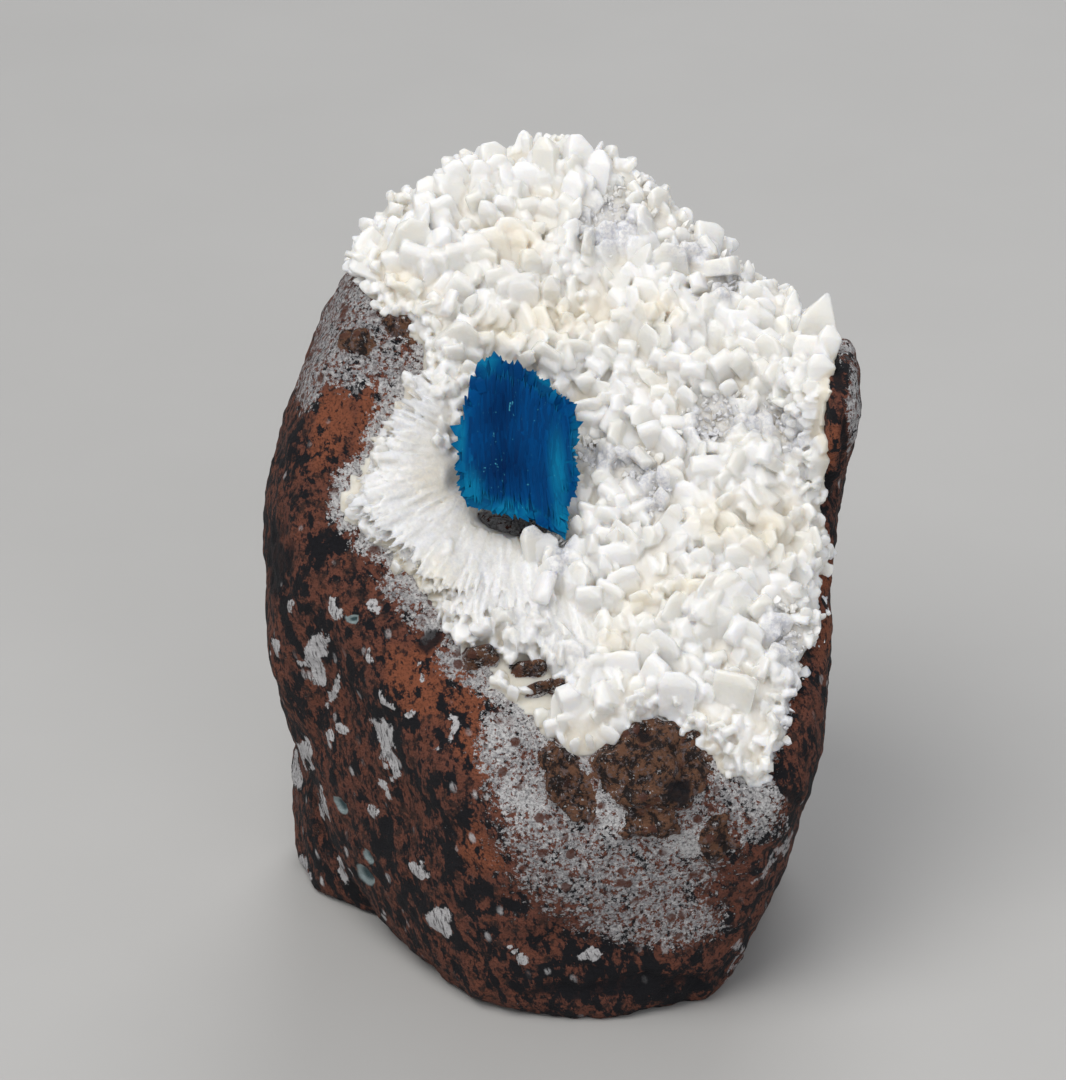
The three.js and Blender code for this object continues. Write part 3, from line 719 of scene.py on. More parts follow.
def tablet_mesh(name, width, depth, length, point, blunt, bevel, skew=TABLET_SKEW):
    """A flattened crystal that stands on z = 0, with straight sides, a wedge-shaped end and worn edges."""
    shape = bmesh.new()
    rings = []
    for z, across, through, shift in (
        (0, TABLET_ROOT, TABLET_ROOT, 0), (length - point, 1, 1, 0), (length, blunt, 0.6 * blunt, skew),
    ):
        x, y = width / 2 * across, depth / 2 * through
        move = shift * width
        corners = ((x, -y), (x, y), (-x, y), (-x, -y))
        rings.append([shape.verts.new((corner_x + move, corner_y, z)) for corner_x, corner_y in corners])
    shape.faces.new(reversed(rings[0]))
    shape.faces.new(rings[-1])
    for lower, upper in zip(rings[:-1], rings[1:]):
        for k in range(4):
            n = (k + 1) % 4
            shape.faces.new((lower[k], lower[n], upper[n], upper[k]))
    if bevel:
        edges = [edge for edge in shape.edges if any(v.co.z > 0 for v in edge.verts)]
        bmesh.ops.bevel(
            shape, geom=edges, offset=bevel, offset_type="OFFSET", segments=1, affect="EDGES",
            clamp_overlap=True,
        )
    for vertex in shape.verts:
        vertex.co *= MM
    mesh = bpy.data.meshes.new(name)
    shape.to_mesh(mesh)
    shape.free()
    write_values(mesh, "along", read_points(mesh)[:, 2] / (length * MM))
    return mesh


def use_material(mesh, material):
    """One material over a whole mesh."""
    mesh.materials.clear()
    mesh.materials.append(material)
    mesh.polygons.foreach_set("material_index", np.zeros(len(mesh.polygons), np.int32))


def start_tree(name, inputs):
    """A new geometry tree, the keys of its inputs by name, and the inputs as sockets inside it."""
    tree = bpy.data.node_groups.new(name, "GeometryNodeTree")
    keys = {}
    for label, kind in {"Geometry": "Geometry", **inputs}.items():
        socket = tree.interface.new_socket(name=label, in_out="INPUT", socket_type="NodeSocket" + kind)
        keys[label] = socket.identifier
    tree.interface.new_socket(name="Geometry", in_out="OUTPUT", socket_type="NodeSocketGeometry")
    group_in = tree.nodes.new("NodeGroupInput")
    return tree, keys, {label: Shade(tree, group_in.outputs[label]) for label in keys}


def own(start, label, kind="FLOAT_VECTOR"):
    """A value that the carrier mesh holds at each point."""
    return start.node("GeometryNodeInputNamedAttribute", {"data_type": kind}, {"Name": label})


def standing(heading, facing):
    """The rotation of a crystal that points along its heading, with its broad side to its facing."""
    upright = heading.node("FunctionNodeAlignRotationToVector", {"axis": "Z"}, {"Vector": heading})
    return heading.node(
        "FunctionNodeAlignRotationToVector", {"axis": "Y", "pivot_axis": "Z"},
        {"Rotation": upright, "Vector": facing},
    )


def end_tree(grown, tint, material):
    """Stores each crystal's tint, makes all of them one mesh of the material, and sends it out."""
    tinted = grown.node(
        "GeometryNodeStoreNamedAttribute", {"data_type": "FLOAT", "domain": "INSTANCE"},
        {"Geometry": grown, "Name": "tint", "Value": tint},
    )
    real = grown.node("GeometryNodeRealizeInstances", {}, {"Geometry": tinted})
    painted = grown.node("GeometryNodeSetMaterial", {}, {"Geometry": real, "Material": material})
    group_out = grown.tree.nodes.new("NodeGroupOutput")
    grown.tree.links.new(painted.socket, group_out.inputs["Geometry"])


def growth_tree(name, shapes, material):
    """Crystals scattered over a mesh, broad side out. The mesh's own values say how each one stands: lean is
    added to the surface normal, size scales it, and rise lifts its root along the normal."""
    tree, keys, given = start_tree(name, {
        "Spacing": "Float", "Smallest": "Vector", "Largest": "Vector", "Tilt": "Float", "Twist": "Float",
        "Seed": "Int",
    })
    start = given["Geometry"]

    def added(first, second):
        return start.node("ShaderNodeVectorMath", {"operation": "ADD"}, {0: first, 1: second})

    def scaled(vector, amount):
        return start.node("ShaderNodeVectorMath", {"operation": "SCALE"}, {0: vector, "Scale": amount})

    def chance(low, high, salt):
        return start.node(
            "FunctionNodeRandomValue", {"data_type": "FLOAT_VECTOR"},
            {"Min": low, "Max": high, "Seed": given["Seed"] + float(salt)},
        )

    spacing, seed = given["Spacing"], given["Seed"]
    points = start.node(
        "GeometryNodeDistributePointsOnFaces", {"distribute_method": "POISSON"},
        {"Mesh": start, "Distance Min": spacing, "Density Max": GROWTH_DENSITY, "Seed": seed},
    )
    normal = Shade(tree, points.socket.node.outputs["Normal"])
    stray = scaled(chance((-1, -1, -1), (1, 1, 1), 1), given["Tilt"])
    heading = added(added(normal, stray), own(start, "lean"))
    twist = scaled(chance((0, 0, -1), (0, 0, 1), 2), given["Twist"])
    turned = start.node(
        "FunctionNodeRotateRotation", {"rotation_space": "LOCAL"},
        {"Rotation": standing(heading, normal), "Rotate By": twist},
    )
    size = scaled(chance(given["Smallest"], given["Largest"], 3), own(start, "size", "FLOAT"))
    lift = scaled(normal, own(start, "rise", "FLOAT"))
    rooted = start.node("GeometryNodeSetPosition", {}, {"Geometry": points, "Offset": lift})
    shape = start.node(
        "GeometryNodeCollectionInfo", {},
        {"Collection": shapes, "Separate Children": True, "Reset Children": True},
    )
    grown = start.node(
        "GeometryNodeInstanceOnPoints", {},
        {"Points": rooted, "Instance": shape, "Pick Instance": True, "Rotation": turned, "Scale": size},
    )
    end_tree(grown, start.node("ShaderNodeSeparateXYZ", {}, {0: chance((0, 0, 0), (1, 1, 1), 4)}), material)
    return tree, keys


def grown_mesh(name, carrier, tree, keys, material, amounts):
    """The crystals that a tree grows on a carrier mesh, as a plain mesh."""
    thing = add_object(name + "_carrier", carrier)
    modifier = thing.modifiers.new(name, "NODES")
    modifier.node_group = tree
    for label, amount in amounts.items():
        modifier[keys[label]] = amount
    mesh = finished_mesh(thing)
    mesh.name = name
    use_material(mesh, material)
    return mesh


def crystals(name, kept, shapes, material, bevel, size, rise_share, lean, **amounts):
    """Crystals of some shapes on the kept part of the rock, as a plain mesh."""
    faces, used = kept_faces(kept)
    ground = bpy.data.meshes.new(name + "_ground")
    ground.from_pydata(rock_smooth[used].tolist(), [], faces)
    write_values(ground, "size", size[used])
    write_values(ground, "rise", rise[used] * rise_share)
    write_vectors(ground, "lean", lean[used])
    collection = bpy.data.collections.new(name + "_shapes")
    scene.collection.children.link(collection)
    for label, sizes in shapes.items():
        collection.objects.link(bpy.data.objects.new(label, tablet_mesh(label, *sizes, bevel=bevel)))
    tree, keys = growth_tree(name, collection, material)
    mesh = grown_mesh(name, ground, tree, keys, material, amounts)
    for thing in list(collection.objects):
        bpy.data.objects.remove(thing)
    bpy.data.collections.remove(collection)
    return mesh


MILK = (0.76, 0.75, 0.71, 1.0)
SNOW = (0.845, 0.84, 0.835, 1.0)
CREAM = (0.80, 0.71, 0.52, 1.0)
SMOKE = (0.50, 0.51, 0.56, 1.0)
PAINTED_ROOT_SHADE = (0.70, 0.63, 0.50, 1.0)
PEARL_DEPTH = 0.9 * MM
PEARL_SPREAD = (1.0, 0.9, 0.75)


def stilbite_paint(name, smoke, roughness):
    """Milky white crystal: cream and smoke in patches, and painted warm shade towards each blade's root."""
    material, shader, place = start_material(name)
    tint = place.attribute("tint")
    along = place.attribute("along")
    tone = tint.mix(MILK, SNOW)
    tone = (place.attribute("cream") * (0.25 + tint * 0.3)).mix(tone, CREAM)
    speckle = place.clouds(3.6, 2.0, 0.7).step(0.40, 0.62)
    tone = (place.attribute("grey") * smoke * (0.35 + speckle * 0.65)).mix(tone, SMOKE)
    # Painted shade: a warm cream darkening low on each blade and near the rock, where the crystals shade one
    # another.
    tone = ((1 - along.step(0.0, 0.75)) * 0.7).mix(tone, PAINTED_ROOT_SHADE)
    tone.feeds(shader, "Base Color")
    (roughness + tint * tint * 0.35).feeds(shader, "Roughness")
    place.clouds(4.0, 3.0).bumps(shader, 0.04)
    shader.inputs["Subsurface Weight"].default_value = 1.0
    shader.inputs["Specular IOR Level"].default_value = 0.4
    shader.inputs["Subsurface Radius"].default_value = PEARL_SPREAD
    shader.inputs["Subsurface Scale"].default_value = PEARL_DEPTH
    shader.inputs["IOR"].default_value = 1.5
    return material


druse_paint = stilbite_paint("stilbite_druse", smoke=0.8, roughness=0.24)
# The blades are smaller towards the crust's edge, where the rock turns away, and at the top.
front_on = smoothstep(0.0, 0.5, rock_normals @ np.array(TOWARDS))
blade_size = (0.84 + 0.4 * noise_at(rock_smooth, 5.0)) * (0.5 + 0.5 * smoothstep(0.2 * MM, 3.5 * MM, edge))
blade_size = blade_size * (0.6 + 0.4 * front_on) * (1 - 0.45 * lowered)
# They lean in from the right edge and from the top's outline.
INWARD_LEAN = 0.9
RIGHT_EDGE_REACH = 70
by_right_edge = level * smoothstep(right_limit - RIGHT_EDGE_REACH, right_limit, rock_pixels[:, 0])
inward = np.outer(INWARD_LEAN * by_right_edge, -np.array(RIGHT))
inward = inward + np.outer(INWARD_LEAN * lowered, np.array(RIGHT - 0.4 * UP))


def along_rock(direction):
    """A direction laid into the rock's surface at each of its points."""
    flat = np.array(direction) - rock_normals * (rock_normals @ np.array(direction))[:, None]
    return flat / (np.linalg.norm(flat, axis=1)[:, None] + 1e-6)


comb = THATCH_SWING * noise_at(rock_smooth, 4.0, 7.0)
thatch = THATCH_LEAN * (along_rock(UP) * np.cos(comb)[:, None] + along_rock(RIGHT) * np.sin(comb)[:, None])
by_hollow = inside_patches(rock_pixels, HOLLOW_FRONT, 0.5)
blade_ground = covered & (edge > 0.3 * MM) & ~bare & (by_hollow < 0.3) & (fibrous < 0.6) & (grey < 0.75)
blades_mesh = crystals(
    "stilbite_blades", blade_ground, TABLETS, druse_paint,
    bevel=TABLET_BEVEL, size=blade_size * (1 - 0.4 * grey), rise_share=0.55, lean=thatch + inward,
    Spacing=0.9 * MM, Smallest=(0.6, 0.65, 0.75), Largest=(1.15, 1.2, 1.15), Tilt=0.5, Twist=0.5, Seed=3,
)
INFILL = {
    "stub": (1.0, 0.8, 1.5, 0.4, 0.5),
    "tab": (1.3, 0.6, 1.6, 0.4, 0.5),
    "nub": (0.9, 0.8, 1.2, 0.35, 0.55),
}
smeared = inside_patches(rock_pixels, SMEARED_EDGE, 0.5)
on_knobs = inside_patches(rock_pixels, KNOB_FRONTS, 0.4) > 0.05
granular = (inside_patches(rock_pixels, GRANULAR_EDGE, 0.4) > 0.1) & ~on_knobs
sugared = (edge < 2.2 * MM) & ~bare & (smeared < 0.2) & (fibrous < 0.7) & (grey < 0.75)
infill_mesh = crystals(
    "stilbite_infill", covered & (edge > 0.4 * MM) & (sugared | granular), INFILL, druse_paint,
    bevel=0, size=0.55 + 0.45 * smoothstep(0.1 * MM, 2.5 * MM, edge), rise_share=0.85, lean=inward,
    Spacing=0.55 * MM, Smallest=(0.7, 0.7, 0.7), Largest=(1.2, 1.2, 1.3), Tilt=0.8, Twist=3.1, Seed=21,
)

FAN_MIDDLE = (512, 462)
FAN_FLATNESS = 6.0
FIBRES = {
    "lath": (0.34, 0.3, 3.4, 1.4, 0.2),
    "thread": (0.28, 0.3, 3.0, 1.2, 0.2),
    "ribbon": (0.55, 0.3, 3.2, 1.0, 0.3),
}
fan = rock_pixels - np.array(FAN_MIDDLE, float)
fan = fan / (np.linalg.norm(fan, axis=1)[:, None] + 1e-6)
outward = fan[:, :1] * np.array(RIGHT)[None] - fan[:, 1:] * np.array(UP)[None]
outward = outward - rock_normals * np.einsum("ij,ij->i", outward, rock_normals)[:, None]
over_gaps = sum(inside_patches(rock_pixels + fan * reach, WIDER_GAPS, 0.5) for reach in (12, 24, 36)) > 0.1
fan_ground = covered & (edge > 0.3 * MM) & ~bare & ~over_gaps & (fibrous > 0.2)
sheaves_mesh = crystals(
    "stilbite_sheaves", fan_ground, FIBRES, druse_paint, bevel=0,
    size=0.3 + 0.65 * smoothstep(0.3 * MM, 4.5 * MM, edge), rise_share=1.0, lean=outward * FAN_FLATNESS,
    Spacing=0.29 * MM, Smallest=(0.8, 0.8, 0.45), Largest=(1.2, 1.2, 1.4), Tilt=0.25, Twist=0.8, Seed=11,
)

# Single plates and spears that stand out of the druse, each placed as it is seen.
LARGE_BLADES = {
    # name: root pixel, heading (right, up, towards), sizes as a tablet's, spin in degrees
    "corner_spear": ((800, 362), (0.42, 0.9, 0.3), (2.7, 1.0, 5.4, 2.2, 0.1), 8),
    "corner_plate": ((808, 398), (0.05, 0.95, 0.35), (2.7, 1.0, 4.6, 0.9, 0.55), -6),
    "corner_blade": ((775, 378), (-0.1, 0.95, 0.35), (1.6, 0.8, 3.8, 1.0, 0.2), 20),
    "grey_plate": ((735, 365), (0.14, 0.95, 0.3), (2.3, 0.8, 4.0, 0.6, 0.7), 14),
    "right_tab": ((690, 272), (1.0, 0.12, 0.4), (1.3, 2.0, 3.6, 0.3, 0.85), 0),
    "top_wedge": ((615, 262), (0.05, -0.7, 0.7), (2.5, 1.1, 3.3, 1.6, 0.15), 0),
    "cream_plate": ((640, 328), (0.12, 0.9, 0.45), (1.9, 0.9, 3.8, 0.5, 0.7), -10),
    "middle_block": ((706, 488), (0.0, 0.65, 0.75), (2.4, 1.4, 3.2, 0.6, 0.6), 5),
    "right_wedge": ((755, 440), (0.6, -0.45, 0.65), (1.9, 1.2, 2.7, 1.0, 0.3), 30),
    "lying_grain": ((714, 404), (1.0, -0.15, 0.5), (1.3, 1.2, 2.9, 0.5, 0.5), 0),
    "lower_plate": ((675, 715), (0.05, 0.8, 0.6), (2.7, 0.8, 3.8, 0.9, 0.45), 0),
    "lower_right_plate": ((730, 716), (0.1, 0.8, 0.6), (3.1, 0.9, 3.8, 0.6, 0.7), -8),
    "rounded_plate": ((722, 606), (0.1, 0.75, 0.65), (2.7, 0.9, 3.0, 0.8, 0.5), 10),
    "bent_plate": ((655, 598), (0.85, 0.35, 0.5), (1.5, 0.9, 3.4, 0.5, 0.6), 20),
    "upper_left_plate": ((398, 268), (0.45, 0.75, 0.5), (3.1, 0.8, 4.2, 1.1, 0.4), 24),
    "left_pearl": ((440, 352), (0.7, 0.4, 0.6), (2.6, 0.8, 3.6, 0.9, 0.5), 30),
    "top_left_block": ((476, 277), (0.0, 0.85, 0.5), (1.9, 1.2, 3.4, 0.6, 0.6), 10),
    "top_block": ((514, 262), (0.1, 0.8, 0.6), (1.9, 1.3, 2.8, 0.5, 0.7), -15),
    "bright_lath": ((552, 254), (0.95, 0.1, 0.5), (0.9, 0.7, 2.2, 0.3, 0.7), 0),
    "cluster_neighbour": ((612, 420), (0.2, 0.75, 0.65), (1.9, 1.1, 2.8, 0.8, 0.4), -20),
    "below_cluster": ((560, 575), (-0.3, 0.75, 0.6), (1.7, 0.8, 2.6, 0.7, 0.4), 40),
    "rim_blade": ((823, 366), (0.2, 0.9, 0.3), (1.6, 0.8, 3.0, 0.8, 0.35), 12),
    "rim_plate": ((816, 392), (0.12, 0.85, 0.5), (2.0, 0.9, 3.0, 0.8, 0.4), 14),
    "rim_chip": ((812, 430), (0.25, 0.6, 0.8), (1.5, 0.8, 2.9, 0.7, 0.3), 30),
    "rim_grain": ((813, 452), (0.3, 0.3, 0.9), (1.3, 1.0, 2.6, 0.6, 0.4), -20),
    "rim_splinter": ((814, 478), (0.15, 0.7, 0.7), (1.4, 0.8, 3.0, 0.9, 0.25), 15),
    "apex_block": ((574, 195), (0.08, 0.95, 0.3), (1.9, 1.3, 4.4, 0.9, 0.4), 25),
    "apex_stub": ((596, 205), (0.12, 0.95, 0.3), (1.6, 1.1, 4.0, 0.9, 0.35), -12),
    "apex_left": ((548, 195), (-0.05, 0.95, 0.3), (1.7, 1.2, 4.2, 0.8, 0.4), -25),
}
LARGE_BLADE_RISE = 0.6 * MM
LARGE_BLADE_BEVEL = 0.05
LARGE_BLADE_SEED = 12


def large_blade(name, pixel, heading, sizes, spin):
    """A tablet that stands on the rock where a pixel shows it, broad side to the camera before its spin."""
    root = rock_tree.ray_cast(*sight(pixel))[0]
    axis = (RIGHT * heading[0] + UP * heading[1] + TOWARDS * heading[2]).normalized()
    flat = (TOWARDS - axis * TOWARDS.dot(axis)).normalized()
    turn = Matrix((flat.cross(axis), flat, axis)).transposed().to_4x4()
    turn = turn @ Matrix.Rotation(math.radians(spin), 4, "Z")
    mesh = tablet_mesh(name, *sizes, bevel=LARGE_BLADE_BEVEL)
    mesh.transform(Matrix.Translation(root + TOWARDS * LARGE_BLADE_RISE) @ turn)
    write_values(mesh, "tint", np.full(len(mesh.vertices), noise.random()))
    return mesh


# The crystals grow together into one skin.
DRUSE_VOXEL = 0.11 * MM
SILKY_SMOOTHING = 3
SILKY_GREY = 0.4
SKIN_TRIANGLES = 195000
FACET_ANGLE = math.radians(32)


def read_values(mesh, name):
    values = np.zeros(len(mesh.vertices), np.float32)
    mesh.attributes[name].data.foreach_get("value", values)
    return values


def joined(name, meshes):
    """One mesh of several, as points and faces, with each point's tint."""
    points, faces, tint = [], [], []
    for mesh in meshes:
        faces += [[v + len(points) for v in face.vertices] for face in mesh.polygons]
        points += read_points(mesh).tolist()
        tint += read_values(mesh, "tint").tolist()
    whole = bpy.data.meshes.new(name)
    whole.from_pydata(points, [], faces)
    return whole, points, faces, np.array(tint)


def drop_crumbs(mesh):
    """Takes away the specks that lie loose beside a mesh's one large body."""
    shape = bmesh.new()
    shape.from_mesh(mesh)
    unseen = set(shape.verts)
    bodies = []
    while unseen:
        front = {unseen.pop()}
        body = set(front)
        while front:
            front = {edge.other_vert(v) for v in front for edge in v.link_edges} & unseen
            unseen -= front
            body |= front
        bodies.append(body)
    bodies.remove(max(bodies, key=len))
    bmesh.ops.delete(shape, geom=[v for body in bodies for v in body], context="VERTS")
    shape.to_mesh(mesh)
    shape.free()


def grown_together(name, meshes):
    """One closed skin round overlapping crystals. Each point keeps the tint of the crystal under it."""
    whole, points, faces, tint = joined(name, meshes)
    dense = remeshed(add_object(name + "_whole", whole), DRUSE_VOXEL, 0)
    thing = add_object(name + "_dense", dense)
    fibres = inside_patches(pixels_of(read_points(dense)), FIBRE_PATCHES, FIBRE_SOFT) > 0.5
    thing.vertex_groups.new(name="silky").add(np.flatnonzero(fibres).tolist(), 1.0, "REPLACE")
    ease = thing.modifiers.new("ease", "SMOOTH")
    ease.vertex_group = "silky"
    ease.factor = 0.5
    ease.iterations = SILKY_SMOOTHING
    thin_out = thing.modifiers.new("thin_out", "DECIMATE")
    thin_out.ratio = min(1.0, SKIN_TRIANGLES / (2 * len(dense.polygons)))
    skin = finished_mesh(thing)
    drop_crumbs(skin)
    skin.name = name
    skin_points = read_points(skin)
    skin_pixels = pixels_of(skin_points)
    sources = BVHTree.FromPolygons([Vector(p) for p in points], faces)
    nearest = [sources.find_nearest(Vector(p))[2] for p in skin_points]
    grounds = [rock_tree.find_nearest(Vector(p)) for p in skin_points]
    height = np.array([g[3] / max(thickness[rock_faces[g[2]][0]], 0.3) for g in grounds])
    silky = SILKY_GREY * inside_patches(skin_pixels, FIBRE_PATCHES, FIBRE_SOFT)
    write_values(skin, "tint", np.array([tint[faces[n][0]] for n in nearest]))
    # along also drives the painted warm shade: points low over the rock get the painted root shade.
    write_values(skin, "along", smoothstep(0.7 * MM, 2.7 * MM, height))
    write_values(skin, "cream", inside_patches(skin_pixels, CREAM_PATCHES, CREAM_SOFT))
    write_values(skin, "grey", np.maximum(inside_patches(skin_pixels, GREY_PATCHES, GREY_SOFT), silky))
    return skin


noise.seed_set(LARGE_BLADE_SEED)
large_meshes = [large_blade(name, *blade) for name, blade in LARGE_BLADES.items()]
druse_mesh = grown_together(
    "stilbite_druse", [bed_sheet(), blades_mesh, infill_mesh, sheaves_mesh, *large_meshes],
)
use_material(druse_mesh, druse_paint)
druse_mesh.shade_smooth()
druse_mesh.set_sharp_from_angle(angle=FACET_ANGLE)
druse = add_object("stilbite_druse", druse_mesh)
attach(druse, "root")
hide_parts("stilbite_crust")


# The fine druse: a sugary lining of small bluish grey stilbite crystals. It grew in the hollows between the
# large crystals and along the crust's edges, on the same bed.
GRAINS = {
    "grain": (0.8, 0.6, 1.1, 0.35, 0.5),
    "chip": (1.0, 0.45, 1.2, 0.4, 0.4),
    "stump": (0.7, 0.7, 0.9, 0.3, 0.55),
}

grain_paint = stilbite_paint("stilbite_grains", smoke=0.85, roughness=0.30)
grain_paint.node_tree.nodes["Principled BSDF"].inputs["Subsurface Weight"].default_value = 0.0
grain_ground = covered & (edge > 0.25 * MM) & ~bare & (fibrous < 0.8) & (grey > 0.1)
grains_mesh = crystals(
    "stilbite_grains", grain_ground, GRAINS, grain_paint,
    bevel=0, size=0.8 - 0.3 * grey, rise_share=0.85, lean=np.zeros((len(rock_smooth), 3)),
    Spacing=0.4 * MM, Smallest=(0.6, 0.6, 0.7), Largest=(1.2, 1.2, 1.3), Tilt=0.9, Twist=3.1, Seed=5,
)
grain_pixels = pixels_of(read_points(grains_mesh))
write_values(grains_mesh, "cream", inside_patches(grain_pixels, CREAM_PATCHES, CREAM_SOFT))
write_values(grains_mesh, "grey", inside_patches(grain_pixels, GREY_PATCHES, GREY_SOFT))
grains = add_object("stilbite_grains", grains_mesh)
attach(grains, "root")
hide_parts("stilbite_crust")


# The cavansite: a flat rosette of thin deep blue blades on one root, teal where the points are thin enough
# for light to pass. It is seated in the druse, its front a broad face of laths side by side, and its rim is
# serrated all round by their points.
SEAT_PIXEL = (515, 445)
SEAT_TURN = (math.sin(math.radians(4)), -math.sin(math.radians(6)), 1.0)
DARK_MIDDLE = (507, 455)
ROSETTE_DEPTH = 4.2 * MM
ROSETTE_LAYERS = 8
ROSETTE_SEED = 8
TINT_SEED = 6
RIM_SPACING = 0.42 * MM
FACE_LATHS = 1300
FACE_SHARE = 0.90
# Lengths, widths and thicknesses in millimetres, each from the least to the most.
RIM_BLADE = ((1.0, 1.9), (0.45, 0.8), (0.14, 0.26))
FACE_LATH = ((1.6, 3.4), (0.12, 0.3), (0.10, 0.15))
LONG_TOOTH = (1.8, 0.85, 0.3)
LONG_TEETH = [
    (450, 426), (451, 444), (463, 405), (469, 387), (471, 375),
    (478, 362), (494, 351), (577, 404), (455, 470),
]
# The core's front and back are the rim drawn in to these shares, and the front is sunk a little.
CORE_FRONT = 0.97
CORE_BACK = 0.55
CORE_SUNK = 0.2 * MM
TEAL_PATCHES = [
    ((470, 490), (20, 34), -20), ((510, 511), (48, 10), 5), ((562, 520), (14, 34), -8),
    ((577, 445), (9, 46), 0), ((488, 362), (20, 12), 0), ((460, 440), (10, 46), 0),
    ((558, 470), (14, 60), -4), ((548, 385), (26, 9), 40),
]
# Places where the blades catch the light, as painted highlights.
GLINT_PATCHES = [
    ((498, 464), (13, 9), -20), ((486, 477), (10, 7), 30), ((510, 403), (6, 6), 0),
    ((530, 467), (6, 7), 0), ((495, 434), (6, 6), 0),
]
DEEP_PATCHES = [((505, 466), (44, 44), 0), ((500, 410), (30, 50), 20)]

cluster_copy = merged_copy("cavansite_cluster")
cluster_tree = BVHTree.FromObject(cluster_copy, bpy.context.evaluated_depsgraph_get())
bpy.data.objects.remove(cluster_copy)
seat = cluster_tree.ray_cast(*sight(SEAT_PIXEL))[0]
face_out = (RIGHT * SEAT_TURN[0] + UP * SEAT_TURN[1] + TOWARDS * SEAT_TURN[2]).normalized()
face_right = (RIGHT - face_out * RIGHT.dot(face_out)).normalized()
face_up = face_out.cross(face_right)


def on_face(pixel):
    """The point of the rosette's front that is seen at a pixel, right and up from its seat."""
    eye, ray = sight(pixel)
    point = eye + ray * ((seat - eye).dot(face_out) / ray.dot(face_out)) - seat
    return np.array((point.dot(face_right), point.dot(face_up)))


rim = np.array([on_face(pixel) for pixel in CLUSTER_RIM])
middle = on_face(DARK_MIDDLE)
blades = {"root": [], "heading": [], "facing": [], "scale": []}


def add_blade(tip, direction, out, length, width, thickness, depth, wobble):
    """A blade that ends at a tip, at some depth behind the front, and rises out of the face by out."""
    heading = (face_right * direction[0] + face_up * direction[1] + face_out * out).normalized()
    end = seat + face_right * tip[0] + face_up * tip[1] - face_out * depth
    blades["root"].append(end - heading * length)
    blades["heading"].append(heading)
    blades["facing"].append(face_out + face_right * wobble[0] + face_up * wobble[1])
    blades["scale"].append((width / MM, thickness / MM, length / MM))


dice = np.random.default_rng(ROSETTE_SEED)


def drawn_sizes(ranges):
    """A length, a width and a thickness by chance."""
    return [dice.uniform(*limits) * MM for limits in ranges]


steps = np.linalg.norm(np.roll(rim, -1, axis=0) - rim, axis=1)
for layer in range(ROSETTE_LAYERS):
    back = layer / (ROSETTE_LAYERS - 1)
    shrink = 1 - 0.4 * back ** 1.6
    for at in np.arange(0, steps.sum(), RIM_SPACING * (1 + 0.8 * back)):
        at = (at + dice.uniform(-0.4, 0.4) * RIM_SPACING) % steps.sum()
        k = int(np.searchsorted(np.cumsum(steps), at)) % len(rim)
        share = 1 - (np.cumsum(steps)[k] - at) / steps[k]
        on_rim = rim[k] + (rim[(k + 1) % len(rim)] - rim[k]) * share
        spoke = (on_rim - middle) / np.linalg.norm(on_rim - middle)
        lean = dice.uniform(-0.35, 0.35)
        spoke = np.array((spoke[0] - spoke[1] * lean, spoke[1] + spoke[0] * lean))
        tip = middle + (on_rim - middle) * shrink + spoke * dice.uniform(-0.25, 0.32) * MM
        add_blade(
            tip, spoke, 0.10 - 0.5 * back + dice.uniform(-0.15, 0.15), *drawn_sizes(RIM_BLADE),
            ROSETTE_DEPTH * back * 0.9 + dice.uniform(0.0, 0.35) * MM, dice.uniform(-0.4, 0.4, 2),
        )
for pixel in LONG_TEETH:
    tip = on_face(pixel)
    spoke = (tip - middle) / np.linalg.norm(tip - middle)
    add_blade(tip, spoke, 0.1, *(size * MM for size in LONG_TOOTH), 0.05 * MM, (0.0, 0.0))
low_corner, high_corner = rim.min(axis=0), rim.max(axis=0)
spread = np.linalg.norm(rim - middle, axis=1)
bearing = np.arctan2(*(rim - middle).T[::-1])
order = np.argsort(bearing)
made = 0
while made < FACE_LATHS:
    tip = dice.uniform(low_corner, high_corner)
    spoke = tip - middle
    reach = np.interp(math.atan2(spoke[1], spoke[0]), bearing[order], spread[order], period=2 * math.pi)
    if np.linalg.norm(spoke) > reach * FACE_SHARE:
        continue
    made += 1
    fall = -1 if spoke[1] < 1.2 * MM else 1
    slant = 0.05 + 0.10 * spoke[0] / (4 * MM) + dice.uniform(-0.07, 0.07)
    add_blade(
        tip, np.array((slant, fall)), dice.uniform(-0.01, 0.03), *drawn_sizes(FACE_LATH),
        dice.uniform(0.02, 0.08) * MM, dice.uniform(-0.07, 0.07, 2),
    )

seeds = bpy.data.meshes.new("cavansite_seeds")
seeds.from_pydata([tuple(root) for root in blades["root"]], [], [])
for label in ("heading", "facing", "scale"):
    write_vectors(seeds, label, np.array(blades[label]))


def rosette_tree(name, shape, material):
    """One blade on every point, along its own heading, with its flat side to its own facing."""
    tree, keys, given = start_tree(name, {"Seed": "Int"})
    start = given["Geometry"]
    blade = start.node("GeometryNodeObjectInfo", {}, {"Object": shape}, out=-1)
    turned = standing(own(start, "heading"), own(start, "facing"))
    grown = start.node(
        "GeometryNodeInstanceOnPoints", {},
        {"Points": start, "Instance": blade, "Rotation": turned, "Scale": own(start, "scale")},
    )
    tint = start.node("FunctionNodeRandomValue", {"data_type": "FLOAT"}, {"Seed": given["Seed"]}, out=1)
    end_tree(grown, tint, material)
    return tree, keys


NAVY = (0.0003, 0.012, 0.060, 1.0)
AZURE = (0.0008, 0.060, 0.210, 1.0)
TEAL = (0.004, 0.200, 0.360, 1.0)
GLINT = (0.06, 0.34, 0.46, 1.0)

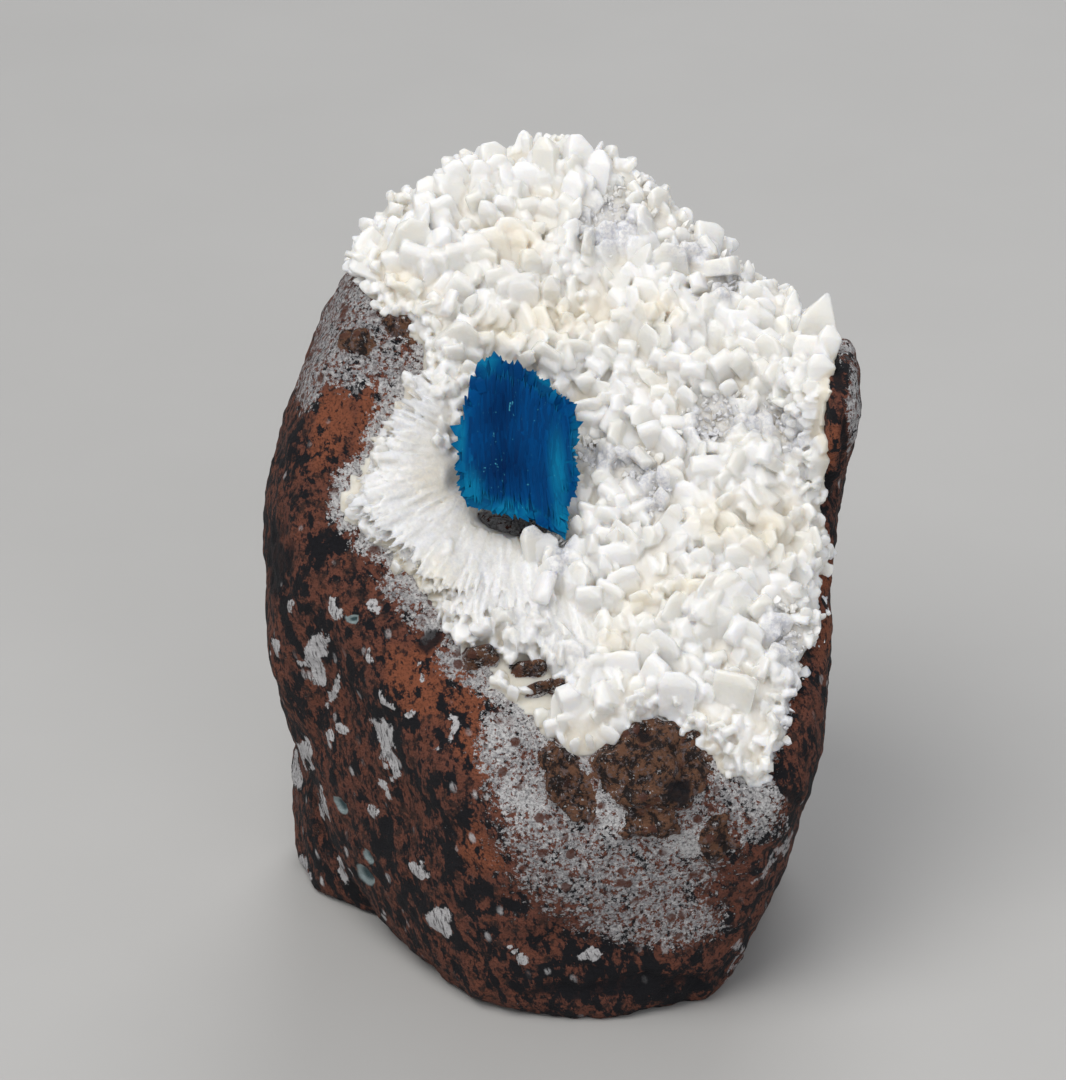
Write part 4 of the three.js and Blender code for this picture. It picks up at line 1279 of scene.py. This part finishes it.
cavansite_paint, cavansite_shader, cavansite_place = start_material("cavansite")
tint = cavansite_place.attribute("tint")
along = cavansite_place.attribute("along")
teal_amount = cavansite_place.attribute("teal")
deep_amount = cavansite_place.attribute("deep")
blue = (0.70 + (tint - 0.5) * (0.45 - deep_amount * 0.3) - deep_amount * 0.6).mix(NAVY, AZURE)
blue = (teal_amount * (0.62 + tint * 0.3) + along.step(0.75, 1.0) * 0.3).least(1.0).mix(blue, TEAL)
# Painted glints: pale specks in patches and at random stand in for highlights, as the blades' own specular is
# kept very low.
glint_amount = cavansite_place.attribute("glint") * 0.16 + cavansite_place.clouds(4.0, 2.0, 0.7)
blue = (glint_amount.step(0.69, 0.77) * 0.7).mix(blue, GLINT)
blue.feeds(cavansite_shader, "Base Color")
(0.30 + tint * 0.25).feeds(cavansite_shader, "Roughness")
cavansite_shader.inputs["IOR"].default_value = 1.55
cavansite_shader.inputs["Specular IOR Level"].default_value = 0.02

blade_mesh = tablet_mesh("cavansite_blade", 1, 1, 1, 0.35, 0.06, bevel=0, skew=0)
blade_shape = add_object("cavansite_blade", blade_mesh)
tree, keys = rosette_tree("cavansite", blade_shape, cavansite_paint)
rosette_mesh = grown_mesh("cavansite_rosette", seeds, tree, keys, cavansite_paint, {"Seed": TINT_SEED})
bpy.data.objects.remove(blade_shape)

core = bmesh.new()
core.from_mesh(rosette_mesh)


def core_ring(share, depth):
    """New points on the rim drawn in to a share of its size, at some depth behind the front."""
    return [
        core.verts.new(seat + face_right * right + face_up * up - face_out * depth)
        for right, up in middle + (rim - middle) * share
    ]


front = core_ring(CORE_FRONT, CORE_SUNK)
rear = core_ring(CORE_BACK, ROSETTE_DEPTH)
core.faces.new(reversed(front))
core.faces.new(rear)
for k in range(len(front)):
    n = (k + 1) % len(front)
    core.faces.new((front[k], front[n], rear[n], rear[k]))
core.to_mesh(rosette_mesh)
core.free()
rosette_pixels = pixels_of(read_points(rosette_mesh))
write_values(rosette_mesh, "teal", inside_patches(rosette_pixels, TEAL_PATCHES, 1.0))
write_values(rosette_mesh, "glint", inside_patches(rosette_pixels, GLINT_PATCHES, 0.8))
write_values(rosette_mesh, "deep", inside_patches(rosette_pixels, DEEP_PATCHES, 1.0))
cavansite = add_object("cavansite_rosette", rosette_mesh)
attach(cavansite, "root")
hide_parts("cavansite_cluster")

bpy.context.view_layer.update()
